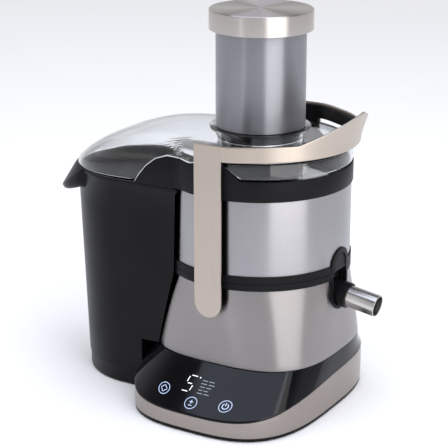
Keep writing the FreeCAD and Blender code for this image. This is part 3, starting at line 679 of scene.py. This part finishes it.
def make_housing():
    heights = [HOUSING_BOTTOM + (HOUSING_TOP - HOUSING_BOTTOM) * i / 12 for i in range(13)]
    outer = [housing_ring(heights[0], 1.0)]
    outer += [housing_ring(heights[0] + 0.6, 0.25), housing_ring(heights[0] + 1.2)]
    outer += [housing_ring(z) for z in heights[1:]]
    inner = [housing_ring(HOUSING_TOP, 1.0), housing_ring(HOUSING_BOTTOM, 1.2)]
    shell = stack("motor_housing_skin", outer + inner, closed_stack=True, sharp=50)
    carve(shell, round_slot("spout_cut", 15.8, SPOUT_WALL_Z, HOUSING_TOP + 30, 60, 120), 50)
    finish_piece(shell, steel_housing, "root", "housing_steel", "motor_housing")


# ---- bowl ----------------------------------------------------------------------------------------------
def make_bowl():
    top, low = SHELL_TOP, SHELL_BOTTOM
    outline = rounded([(SHELL_R - 0.8, low), (SHELL_R, low), (SHELL_R, top), (SHELL_R - 0.8, top)], 0.3)
    shell = lathe("bowl_shell_skin", outline)
    carve(shell, round_slot("arch_cut", ARCH_HALF + 0.2, 110.0, ARCH_SPRING, 60, 120))
    finish_piece(shell, steel_bowl, "bowl", "bowl_steel", "bowl_shell")


def plan_of_ring():
    """The black ring's plan: along one duct wall, round the +X side and back along the other wall."""
    meet = -math.sqrt(RING_R ** 2 - DUCT_Y ** 2)
    path = []
    runs = 26
    for i in range(runs):
        x = -91.0 + (meet - 6.0 + 91.0) * i / runs
        path.append((x, -DUCT_Y, 0.0, -1.0))
    first = math.atan2(-DUCT_Y, meet)
    steps = 150
    for i in range(steps + 1):
        turn = first + (2 * math.pi - 2 * (math.pi + first)) * i / steps
        path.append((RING_R * math.cos(turn), RING_R * math.sin(turn), math.cos(turn), math.sin(turn)))
    for i in range(runs):
        x = (meet - 6.0) + (-91.0 - meet + 6.0) * (i + 1) / runs
        path.append((x, DUCT_Y, 0.0, 1.0))
    return path


def make_ring():
    """Black ring with the pulp duct's side walls, cut along the seam with the lid."""
    wall = 3.2
    edge = 0.7
    columns = []
    for x, y, nx, ny in plan_of_ring():
        low, high = SHELL_TOP + 0.1, seam_height(x)
        high = max(high, low + 0.8)
        soft = min(edge, (high - low) * 0.3)
        profile = [(0.0, low + soft), (0.0, high - soft), (-0.25 * soft, high - 0.3 * soft), (-soft, high),
                   (-wall + soft, high), (-wall, high - soft), (-wall, low + soft), (-wall + soft, low),
                   (-soft, low), (-0.25 * soft, low + 0.3 * soft)]
        columns.append([(x + nx * d, y + ny * d, z) for d, z in profile])
    ring = stack("bowl_top_ring_skin", columns, capped=True, sharp=45)
    rows = []
    sill_top = SHELL_TOP + 2
    section = rounded([(84.0, SHELL_TOP), (87.4, SHELL_TOP), (87.4, sill_top), (84.0, sill_top)], 0.4)
    first = math.atan2(DUCT_Y, -math.sqrt(RING_R ** 2 - DUCT_Y ** 2))
    for i in range(41):
        turn = first + (2 * math.pi - 2 * first) * i / 40
        rows.append([(r * math.cos(turn), r * math.sin(turn), z) for r, z in section])
    sill = stack("duct_sill", rows, capped=True, sharp=45)
    finish_piece(join("bowl_top_ring_skin", [ring, sill]), black_ring, "bowl", "satin_black", "bowl_top_ring")


def tilted(outline, start_x, steps=72):
    """Rings of a part turned about the spout's sloping axis; outline is (radius, distance along it)."""
    run = Vector((1.0, 0.0, -SPOUT_FALL)).normalized()
    side = Vector((0.0, 1.0, 0.0))
    up = run.cross(side) * -1
    start = Vector((start_x, 0.0, SPOUT_TIP_Z + SPOUT_FALL * (SPOUT_TIP_X - start_x)))
    rings = []
    for radius, along in outline:
        ring = []
        for i in range(steps):
            turn = 2 * math.pi * i / steps
            point = start + run * along + side * (radius * math.cos(turn)) + up * (radius * math.sin(turn))
            ring.append(tuple(point))
        rings.append(ring)
    return rings


def make_spout():
    length = (SPOUT_TIP_X - 80.0) * math.hypot(1.0, SPOUT_FALL)
    bore = SPOUT_R - 1.0
    outline = rounded([(SPOUT_R, 0.0), (SPOUT_R, length), (bore, length), (bore, 0.0)], 0.45)
    tube = stack("spout_tube_skin", tilted(outline, 80.0), closed_stack=True)
    finish_piece(tube, steel_spout, "bowl", "spout_steel", "spout_tube")
    reach_out = (SOCKET_END_X - 79.0) * math.hypot(1.0, SPOUT_FALL)
    outline = [(SPOUT_R + 0.1, 0.0), (SOCKET_R - 0.6, 0.0), (SOCKET_R - 0.6, 9.0), (SOCKET_R, 9.6),
               (SOCKET_R, reach_out), (SPOUT_R + 0.1, reach_out)]
    socket = stack("spout_socket_skin", tilted(rounded(outline, 0.7), 79.0), closed_stack=True)
    finish_piece(socket, black_satin, "bowl", "black_plastic", "spout_socket")


# ---- lid -----------------------------------------------------------------------------------------------
DOME_START_X = -50.0
DOME_END_X = CONTAINER_X - CONTAINER_R
DOME_FALL = 3.8
DOME_ROUNDING = 1.3
DOME_END_RISE = 0.09
DOME_SQUARE_START = 5.4
DOME_SQUARE_END = 1.8


def along_dome(x):
    return min(1.0, max(0.0, (DOME_START_X - x) / (DOME_START_X - DOME_END_X)))


def super_arch(share, squareness):
    share = min(1.0, abs(share))
    return (1 - share ** squareness) ** (1 / squareness)


def lid_height(x, y):
    """Height of the lid's outer face: a flat round part over the bowl, and a dome over the container."""
    radius = math.hypot(x, y)
    height = 0.0
    if radius <= LID_R:
        height = RING_TOP + (LID_TOP - RING_TOP) * super_arch(radius / LID_R, 9.0)
    if x < -30.0:
        half = CONTAINER_R
        if x < CONTAINER_X:
            half = math.sqrt(max(0.01, CONTAINER_R ** 2 - (x - CONTAINER_X) ** 2))
        if abs(y) <= half:
            fall = (1 - along_dome(x) ** DOME_FALL) ** DOME_ROUNDING
            rise = (LID_TOP - 0.4 - RIM_Z) * (DOME_END_RISE + (1 - DOME_END_RISE) * fall)
            squareness = DOME_SQUARE_START + (DOME_SQUARE_END - DOME_SQUARE_START) * along_dome(x)
            height = max(height, RIM_Z + rise * super_arch(y / half, squareness))
    return height


def lid_edge(turn):
    """Distance from the spindle to the lid's outline, at an angle from +X."""
    c, s = math.cos(turn), abs(math.sin(turn))
    best = LID_R
    if c < 0:
        inside = CONTAINER_X * c
        spread = inside ** 2 - (CONTAINER_X ** 2 - CONTAINER_R ** 2)
        if spread > 0:
            far = inside + math.sqrt(spread)
            if far * c <= CONTAINER_X:
                return far
        straight = CONTAINER_R / max(s, 0.001)
        if straight > best and straight * c > CONTAINER_X - 0.01:
            best = straight
    return best


def seam_painted_highlight():
    """A light grey strip along the lid's lower edge by the pulp duct: a painted highlight for the light that
    the clear lid's polished edge catches.
    """
    start_x, end_x, bowl_x = -90.6, 2.0, -40.5
    lift = 0.45
    steps = 59
    section = [(0.15, -0.3), (0.15, 0.35), (-0.6, 0.35), (-0.6, -0.3)]
    points = []
    for side in (-1, 1):
        for i in range(steps + 1):
            x = start_x + (end_x - start_x) * i / steps
            round_y = math.sqrt(max(0.0, LID_R ** 2 - x ** 2)) if x > bowl_x else 0.0
            y = side * max(DUCT_Y, round_y)
            z = max(seam_height(x), RIM_Z + 0.4) + lift
            points += [(x, y + side * outward, z + up) for outward, up in section]
    faces = []
    for start in (0, steps + 1):
        for i in range(start, start + steps):
            for k in range(4):
                follow = (k + 1) % 4
                faces.append((4 * i + k, 4 * i + follow, 4 * i + 4 + follow, 4 * i + 4 + k))
        faces += [tuple(range(4 * end, 4 * end + 4)) for end in (start, start + steps)]
    return mesh_piece("lid_seam_painted_highlight", points, faces, 30)


def make_lid():
    steps = 260
    shares = [1.0, 0.9985, 0.995, 0.989, 0.98, 0.965, 0.945, 0.92, 0.885, 0.84, 0.78, 0.71, 0.63, 0.54, 0.44,
              0.34, 0.24, 0.15, 0.07, 0.0]
    rings = []
    for share in shares:
        ring = []
        for i in range(steps):
            turn = 2 * math.pi * i / steps
            radius = CHUTE_R - 0.4 + (lid_edge(turn) - CHUTE_R + 0.4) * share
            x, y = radius * math.cos(turn), radius * math.sin(turn)
            low = max(seam_height(x), RIM_Z + 0.4) + 0.5
            z = low if share == 1.0 else max(lid_height(x, y), low + 0.4)
            ring.append((x, y, z))
        rings.append(ring)
    skin = stack("lid_dome", rings, sharp=60)
    smooth = skin.modifiers.new("even", "SMOOTH")
    smooth.factor = 0.5
    smooth.iterations = 2
    apply_modifiers(skin, 60)
    thicken(skin, 2.2, 0.0, 60)
    # the light grey strip along the lid's lower edge is a painted highlight
    finish_piece(seam_painted_highlight(), lid_edge_painted_highlight, "lid", "clear_plastic")
    low, high = CHUTE_LOW, CHUTE_TOP
    foot = LID_TOP - 2.0
    outline = [(CHUTE_BORE_R, low), (CHUTE_R, low), (CHUTE_R, foot - 1.0), (CHUTE_R + 0.02, foot + 2.1),
               (CHUTE_R, foot + 3.2), (CHUTE_R, SLEEVE_LOW - 3.0), (FLANGE_R, SLEEVE_LOW - 2.6),
               (FLANGE_R, SLEEVE_LOW - 0.5), (CHUTE_R, SLEEVE_LOW - 0.4)]
    outline += [(CHUTE_R, high), (CHUTE_BORE_R, high)]
    chute = lathe("lid_chute", rounded(outline, 0.6))
    finish_piece(chute, lid_clear, "lid", "clear_plastic")
    finish_piece(skin, lid_clear, "lid", "clear_plastic", "lid_cover")
    outline = [(SLEEVE_R - 1.0, SLEEVE_LOW), (SLEEVE_R, SLEEVE_LOW), (SLEEVE_R, SLEEVE_HIGH),
               (SLEEVE_R - 1.0, SLEEVE_HIGH)]
    sleeve = lathe("chute_sleeve_skin", rounded(outline, 0.4))
    finish_piece(sleeve, steel_sleeve, "lid", "sleeve_steel", "chute_sleeve")


# ---- pusher --------------------------------------------------------------------------------------------
def make_pusher():
    wall = 2.5
    inner = PUSHER_R - wall
    outline = [(0.01, PUSHER_LOW), (PUSHER_R, PUSHER_LOW), (PUSHER_R, PUSHER_HIGH), (inner, PUSHER_HIGH)]
    outline += [(inner, PUSHER_LOW + wall), (0.01, PUSHER_LOW + wall)]
    body = lathe("pusher_body_skin", rounded(outline, 1.2))
    finish_piece(body, black_satin, "pusher", "satin_black", "pusher_body")
    plate_z = CAP_HIGH - 1.3
    rim_r = CAP_R - 1.4
    under = [(0.01, plate_z), (rim_r, plate_z), (rim_r, CAP_LOW), (CAP_R, CAP_LOW)]
    outline = rounded(under, 0.4, closed=False)[:-1]
    outline += [(CAP_R, CAP_LOW), (CAP_R, CAP_HIGH - 1.6), (CAP_R - 0.25, CAP_HIGH - 0.7)]
    outline += [(CAP_R - 0.8, CAP_HIGH - 0.2), (CAP_R - 1.7, CAP_HIGH), (0.01, CAP_HIGH)]
    cap = lathe("pusher_cap_skin", outline, 200)
    finish_piece(cap, steel_cap, "pusher", "cap_steel", "pusher_cap")


# ---- locking arm ---------------------------------------------------------------------------------------
def bezier(p0, p1, p2, p3, t):
    u = 1 - t
    return tuple(a * u ** 3 + 3 * b * u * u * t + 3 * c * u * t * t + d * t ** 3
                 for a, b, c, d in zip(p0, p1, p2, p3))


def hoop_half(offset, radius):
    """Plan of half the hoop, from the front leg's right edge to +X, as (x, y)."""
    straight_y = -LEG_OUTER_Y + offset
    join_turn = math.radians(28.0)
    end = (radius * math.sin(join_turn), -radius * math.cos(join_turn))
    start = (LEG_HALF, straight_y)
    pull = 9.0
    path = []
    for i in range(10):
        lead = (start[0] + pull, start[1])
        tail = (end[0] - pull * math.cos(join_turn), end[1] - pull * math.sin(join_turn))
        path.append(bezier(start, lead, tail, end, i / 10))
    steps = 54
    for i in range(steps + 1):
        turn = join_turn + (math.pi / 2 - join_turn) * i / steps
        path.append((radius * math.sin(turn), -radius * math.cos(turn)))
    return path


def lip_share(x, y):
    """How far the lip has risen: 1 at the tip over the spout, 0 where it starts."""
    return max(0.0, 1 - abs(math.degrees(math.atan2(y, x))) / LIP_SPREAD)


def leg_low(x, half):
    return PIVOT_Z - math.sqrt(max(0.0, half ** 2 - x ** 2))


def hoop_column(x, y, low, high, rows, lipped=True):
    """One upright column of the hoop, leaning out where it is part of the lip."""
    share = lip_share(x, y) if lipped and x > 0 else 0.0
    top = high + (LIP_TIP_Z - HOOP_HIGH) * share
    radius = math.hypot(x, y)
    column = []
    for row in range(rows + 1):
        up = row / rows
        lean = (LIP_TIP_R - HOOP_R) * share * up ** 1.35
        column.append((x * (radius + lean) / radius, y * (radius + lean) / radius, low + (top - low) * up))
    return column


def arm_skin(name, offset, radius, half, low, high, lipped=True, rows=10):
    """Front leg, hoop and back leg as one open skin."""
    points, faces = [], []

    def add(columns):
        start = len(points)
        for column in columns:
            points.extend(column)
        count = len(columns[0])
        for face in grid_faces(len(columns), count, wrap_columns=False):
            faces.append(tuple(start + index for index in face))

    leg_y = LEG_OUTER_Y - offset
    front_half = hoop_half(offset, radius)
    across = 14
    xs = [-half * math.cos(math.pi * i / across) for i in range(across + 1)]
    band = []
    for x in xs:
        corner = high - 2.2 * max(0.0, 1 - (x + half) / 2.2) ** 2
        band.append(hoop_column(x, -leg_y, low, corner, rows, lipped))
    fillet = 3.0
    for x, y in front_half[1:]:
        drop = fillet * max(0.0, 1 - (x - LEG_HALF) / fillet) ** 2
        band.append(hoop_column(x, y, low - drop, high, rows, lipped))
    back = [[(x, -y, z) for x, y, z in column] for column in reversed(band[:-1])]
    add(band + back)
    for side in (-1, 1):
        columns = []
        for x in xs:
            bottom = leg_low(x, half)
            column = []
            for row in range(25):
                up = row / 24
                column.append((x, side * leg_y, bottom + (low - bottom) * up))
            columns.append(column)
        add(columns)
    return mesh_piece(name, points, faces, 40)


def make_arm():
    skin = arm_skin("arm_cover_skin", 0.0, HOOP_R, LEG_HALF, HOOP_LOW, HOOP_HIGH)
    thicken(skin, 1.7, 0.45, 40, outwards=not faces_out(skin))
    finish_piece(skin, steel_arm, "arm", "arm_steel", "arm_cover")
    liner = arm_skin("arm_liner_skin", PLATE, HOOP_R - PLATE, LEG_HALF - 1.2, HOOP_LOW - 0.5, HOOP_HIGH - 2.0,
                     lipped=False)
    thicken(liner, 2.6, 0.5, 40, outwards=not faces_out(liner))
    finish_piece(liner, black_satin, "arm", "black_plastic", "arm_liner")


def faces_out(piece):
    """Whether the skin's face nearest the tip of the lip looks away from the spindle."""
    best = max(piece.data.polygons, key=lambda face: face.center.x)
    return best.normal.x > 0


# ---- pulp container ------------------------------------------------------------------------------------
BODY_SIDE_R = 89.6
HOUSING_CORNER_R = 100.0
CONTAINER_WALL = 2.2
STEP_Z = 16.0


def container_radius(z):
    if z < STEP_Z:
        return CONTAINER_FOOT_R
    ledge = CONTAINER_FOOT_R + 1.0
    return ledge + (CONTAINER_R - ledge) * (z - STEP_Z) / (RIM_Z - STEP_Z)


def body_radius(turn, z):
    """Distance from the spindle to the container's hollow side, at an angle from +X."""
    tall = HOUSING_TOP - HOUSING_BOTTOM
    neck = HOUSING_CORNER_R + (BODY_SIDE_R - HOUSING_CORNER_R) * (z - HOUSING_BOTTOM) / tall
    neck = max(BODY_SIDE_R, min(HOUSING_CORNER_R, neck))
    if z > HOUSING_BOTTOM:
        return neck
    grow = 1.6
    c, s = math.cos(turn), math.sin(turn)
    far = 90.0
    for _ in range(30):
        x, y = far * c, far * s - BASE_MID_Y
        edge = squircle_radius(math.atan2(y, x), BASE_HALF_X + grow, BASE_HALF_Y + grow, BASE_ROUNDNESS)
        far += edge - math.hypot(x, y)
    return max(far, 92.0)


def body_corner(z, inset, radius, side):
    """The angle where the container's hollow side meets its straight side; side is 1 at +Y, -1 at -Y."""
    high, low = math.pi, math.pi * 0.55
    for _ in range(40):
        middle = (low + high) / 2
        far = body_radius(side * middle, z) + inset
        if far * math.sin(middle) > radius:
            low = middle
        else:
            high = middle
    return middle


def container_ring(z, inset):
    radius = container_radius(z) - inset
    first = body_corner(z, inset, radius, 1)
    last = 2 * math.pi - body_corner(z, inset, radius, -1)
    ring = []
    for i in range(41):
        turn = first + (last - first) * i / 40
        far = body_radius(turn, z) + inset
        ring.append((far * math.cos(turn), far * math.sin(turn), z))
    near_x, near_y = ring[-1][:2]
    for i in range(1, 14):
        t = i / 14
        ring.append((near_x + (CONTAINER_X - near_x) * t, near_y + (-radius - near_y) * t, z))
    for i in range(81):
        turn = -math.pi / 2 - math.pi * i / 80
        ring.append((CONTAINER_X + radius * math.cos(turn), radius * math.sin(turn), z))
    far_x, far_y = ring[0][:2]
    for i in range(1, 14):
        t = i / 14
        ring.append((CONTAINER_X + (far_x - CONTAINER_X) * t, radius + (far_y - radius) * t, z))
    return ring


def make_container():
    heights = [(0.4, 1.6), (0.8, 0.6), (2.0, 0.0), (STEP_Z - 1.2, 0.0), (STEP_Z, 0.3), (STEP_Z + 0.6, 0.2)]
    heights += [(STEP_Z + 1.4, 0.0), (HOUSING_BOTTOM - 0.4, 0.0), (HOUSING_BOTTOM + 0.4, 0.0)]
    heights += [(70.0, 0.0), (90.0, 0.0), (110.0, 0.0), (HOUSING_TOP, 0.0), (150.0, 0.0), (180.0, 0.0)]
    heights += [(RIM_Z - 4.6, 0.0), (RIM_Z - 4.0, -0.5), (RIM_Z - 0.7, -0.5), (RIM_Z - 0.1, 0.1)]
    outer = [container_ring(z, inset) for z, inset in heights]
    inner_heights = [RIM_Z, RIM_Z - 1.0, 180.0, 150.0, HOUSING_TOP, 110.0, 90.0, 70.0, HOUSING_BOTTOM + 2.0,
                     HOUSING_BOTTOM - 1.0, STEP_Z + 1.5, 4.0, 2.6]
    inner = [container_ring(z, CONTAINER_WALL + (0 if z > 3 else 1.5)) for z in inner_heights]
    inner[0] = container_ring(RIM_Z - 0.05, CONTAINER_WALL - 0.5)
    shell = stack("pulp_container_skin", outer + inner, capped=True, sharp=42)
    finish_piece(join("pulp_container_skin", [shell, make_grip()]), black_satin, "container", "satin_black",
                 "pulp_container")


GRIP_PLAN = [(0, 96.0), (20, 96.0), (27, 94.8), (34, 92.4), (41, 89.2), (48, 85.2), (54, 81.5), (60, 76.0)]
GRIP_DROP = 29.0


def make_grip():
    """The flared lip that the container is pulled by, tapered at both ends."""
    top = RIM_Z - 0.2
    steps = 72
    spread = GRIP_PLAN[-1][0]
    root = CONTAINER_R - 1.6
    columns = []
    for i in range(steps + 1):
        angle = -spread + 2 * spread * i / steps
        out = along_table(GRIP_PLAN, abs(angle))
        shelf = CONTAINER_R + 4.0
        slope = (GRIP_DROP - 4.0) / (GRIP_PLAN[0][1] - shelf)
        outer_z = top - 4.0 - slope * (out - shelf) if out > shelf else top - 2.0
        under_z = top - 19.0 - 0.9 * max(0.0, out - 5.0 - CONTAINER_R)
        tip = min(outer_z - 0.5, under_z + 3.5)
        profile = [(root, top), (min(CONTAINER_R + 1.5, out), top - 0.8), (min(shelf, out), top - 4.0),
                   (out, max(tip, outer_z)), (out, tip), (max(root, out - 2.0), min(tip - 1.0, under_z)),
                   (max(root, out - 5.0), under_z), (root, top - 18.0)]
        profile = rounded(profile, 2.4, closed=False)
        profile = even_path(profile, 26)
        turn = math.radians(180 + angle)
        c, s = math.cos(turn), math.sin(turn)
        columns.append([(CONTAINER_X + r * c, r * s, z) for r, z in profile])
    return stack("grip", columns, capped=True, sharp=50)


# ---- CAD nodes that keep their shape -------------------------------------------------------------------
KEPT = {
    "base_pan": black_satin, "rubber_feet": rubber, "cord_gland": black_soft, "base_screws": zinc,
    "display_board": board, "display_digit": black_gloss, "touch_springs": zinc, "control_board": board,
    "motor_lower_bracket": zinc, "motor_grommets": rubber, "motor_spacers": zinc, "motor_bolts": zinc,
    "stator_core": iron, "field_coils": copper, "motor_upper_bracket": zinc, "lower_bearing": zinc,
    "upper_bearing": zinc, "brush_holders": copper, "motor_top_deck": black_ring, "spout_frame": black_ring,
    "shaft_seal": rubber, "pivot_bosses": black_soft, "pivot_pins": zinc, "safety_switches": black_soft,
    "motor_shaft": zinc, "armature_core": iron, "armature_windings": copper, "commutator": copper,
    "cooling_fan": black_soft, "drive_coupling": black_soft, "juice_bowl": black_satin,
    "bowl_lower_ring": black_ring, "filter_basket": steel_mesh, "basket_rim": black_satin,
    "grater_disc": steel_mesh, "basket_hub": black_soft, "pusher_head": black_satin}


def paint_kept_nodes():
    for name, material in KEPT.items():
        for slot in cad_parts[name].material_slots:
            slot.material = material


# ---- studio --------------------------------------------------------------------------------------------
def make_floor():
    size = 14.0
    mesh = bpy.data.meshes.new("floor")
    corners = [(-size, -size, 0), (size, -size, 0), (size, size, 0), (-size, size, 0)]
    mesh.from_pydata(corners, [], [(0, 1, 2, 3)])
    floor = bpy.data.objects.new("floor", mesh)
    bpy.context.scene.collection.objects.link(floor)
    pale = Nodes("pale_floor", (0.93, 0.93, 0.935), 0.75)
    speck = pale.noise(pale.place, 6.0, 3.0)
    pale.link(pale.range(speck, 0.7, 0.8), pale.shader, "Roughness")
    mesh.materials.append(pale.material)


def soft_box(name, turn, distance, width, low, high, radiance, color=(1.0, 1.0, 1.0)):
    """An upright light panel at an angle from the user's side towards +X."""
    angle = math.radians(turn)
    place = (SPINDLE_X + distance * math.sin(angle), SPINDLE_Y - distance * math.cos(angle), (low + high) / 2)
    facing = (Vector((SPINDLE_X, SPINDLE_Y, (low + high) / 2)) - Vector(place)).to_track_quat("-Z", "Y")
    return panel_light(name, place, facing.to_euler(), (width, high - low), radiance, color)


def panel_light(name, place, rotation, size, radiance, color=(1.0, 1.0, 1.0)):
    data = bpy.data.lights.new(name, "AREA")
    data.shape = "RECTANGLE"
    data.size, data.size_y = size
    data.energy = radiance * math.pi * size[0] * size[1]
    data.color = color
    lamp = bpy.data.objects.new(name, data)
    bpy.context.scene.collection.objects.link(lamp)
    lamp.location = place
    lamp.rotation_euler = rotation
    lamp.visible_camera = False
    return lamp


def make_world():
    """Even studio light, white along the horizon behind the object and dark overhead."""
    world = bpy.data.worlds.new("studio")
    bpy.context.scene.world = world
    world.use_nodes = True
    tree = world.node_tree
    place = tree.nodes.new("ShaderNodeTexCoord").outputs["Generated"]
    split = tree.nodes.new("ShaderNodeSeparateXYZ")
    tree.links.new(place, split.inputs[0])
    rise = tree.nodes.new("ShaderNodeMapRange")
    rise.interpolation_type = "SMOOTHSTEP"
    tree.links.new(split.outputs["Z"], rise.inputs["Value"])
    for socket, value in (("From Min", 0.45), ("From Max", 0.8), ("To Min", 0.6), ("To Max", 0.1)):
        rise.inputs[socket].default_value = value
    tree.links.new(rise.outputs["Result"], tree.nodes["Background"].inputs["Strength"])
    tree.nodes["Background"].inputs["Color"].default_value = (0.97, 0.97, 1.0, 1.0)


def make_lights():
    soft_box("right_box", turn=63.5, distance=0.95, width=0.78, low=0.0, high=1.7, radiance=1.75,
             color=(1.0, 0.99, 0.98))
    soft_box("front_box", turn=-14.0, distance=1.1, width=0.14, low=0.0, high=1.6, radiance=0.45,
             color=(0.97, 0.97, 1.0))
    panel_light("overhead", place=(SPINDLE_X + 0.05, SPINDLE_Y - 0.15, 2.0), rotation=(0.0, 0.0, 0.0),
                size=(2.4, 1.7), radiance=2.0, color=(0.76, 0.82, 1.0))
    data = bpy.data.lights.new("floor_fill", "SUN")
    data.energy = 1.6
    data.angle = math.radians(150.0)
    fill = bpy.data.objects.new("floor_fill", data)
    bpy.context.scene.collection.objects.link(fill)
    fill.visible_glossy = False
    fill.visible_camera = False


def make_camera():
    data = bpy.data.cameras.new("camera")
    data.lens = 122.5
    data.sensor_width = 36.0
    data.clip_end = 60.0
    camera = bpy.data.objects.new("camera", data)
    bpy.context.scene.collection.objects.link(camera)
    camera.location = (SPINDLE_X + 0.681, SPINDLE_Y - 1.1995, 0.6175)
    camera.rotation_euler = (math.radians(71.8), 0.0, math.radians(31.0))
    bpy.context.scene.camera = camera


make_camera()
make_band()
make_deck()
make_icons()
make_digit()
make_housing()
make_bowl()
make_ring()
make_spout()
make_lid()
make_pusher()
make_arm()
make_container()
paint_kept_nodes()
make_floor()
make_world()
make_lights()
bpy.context.scene.view_settings.view_transform = "Standard"
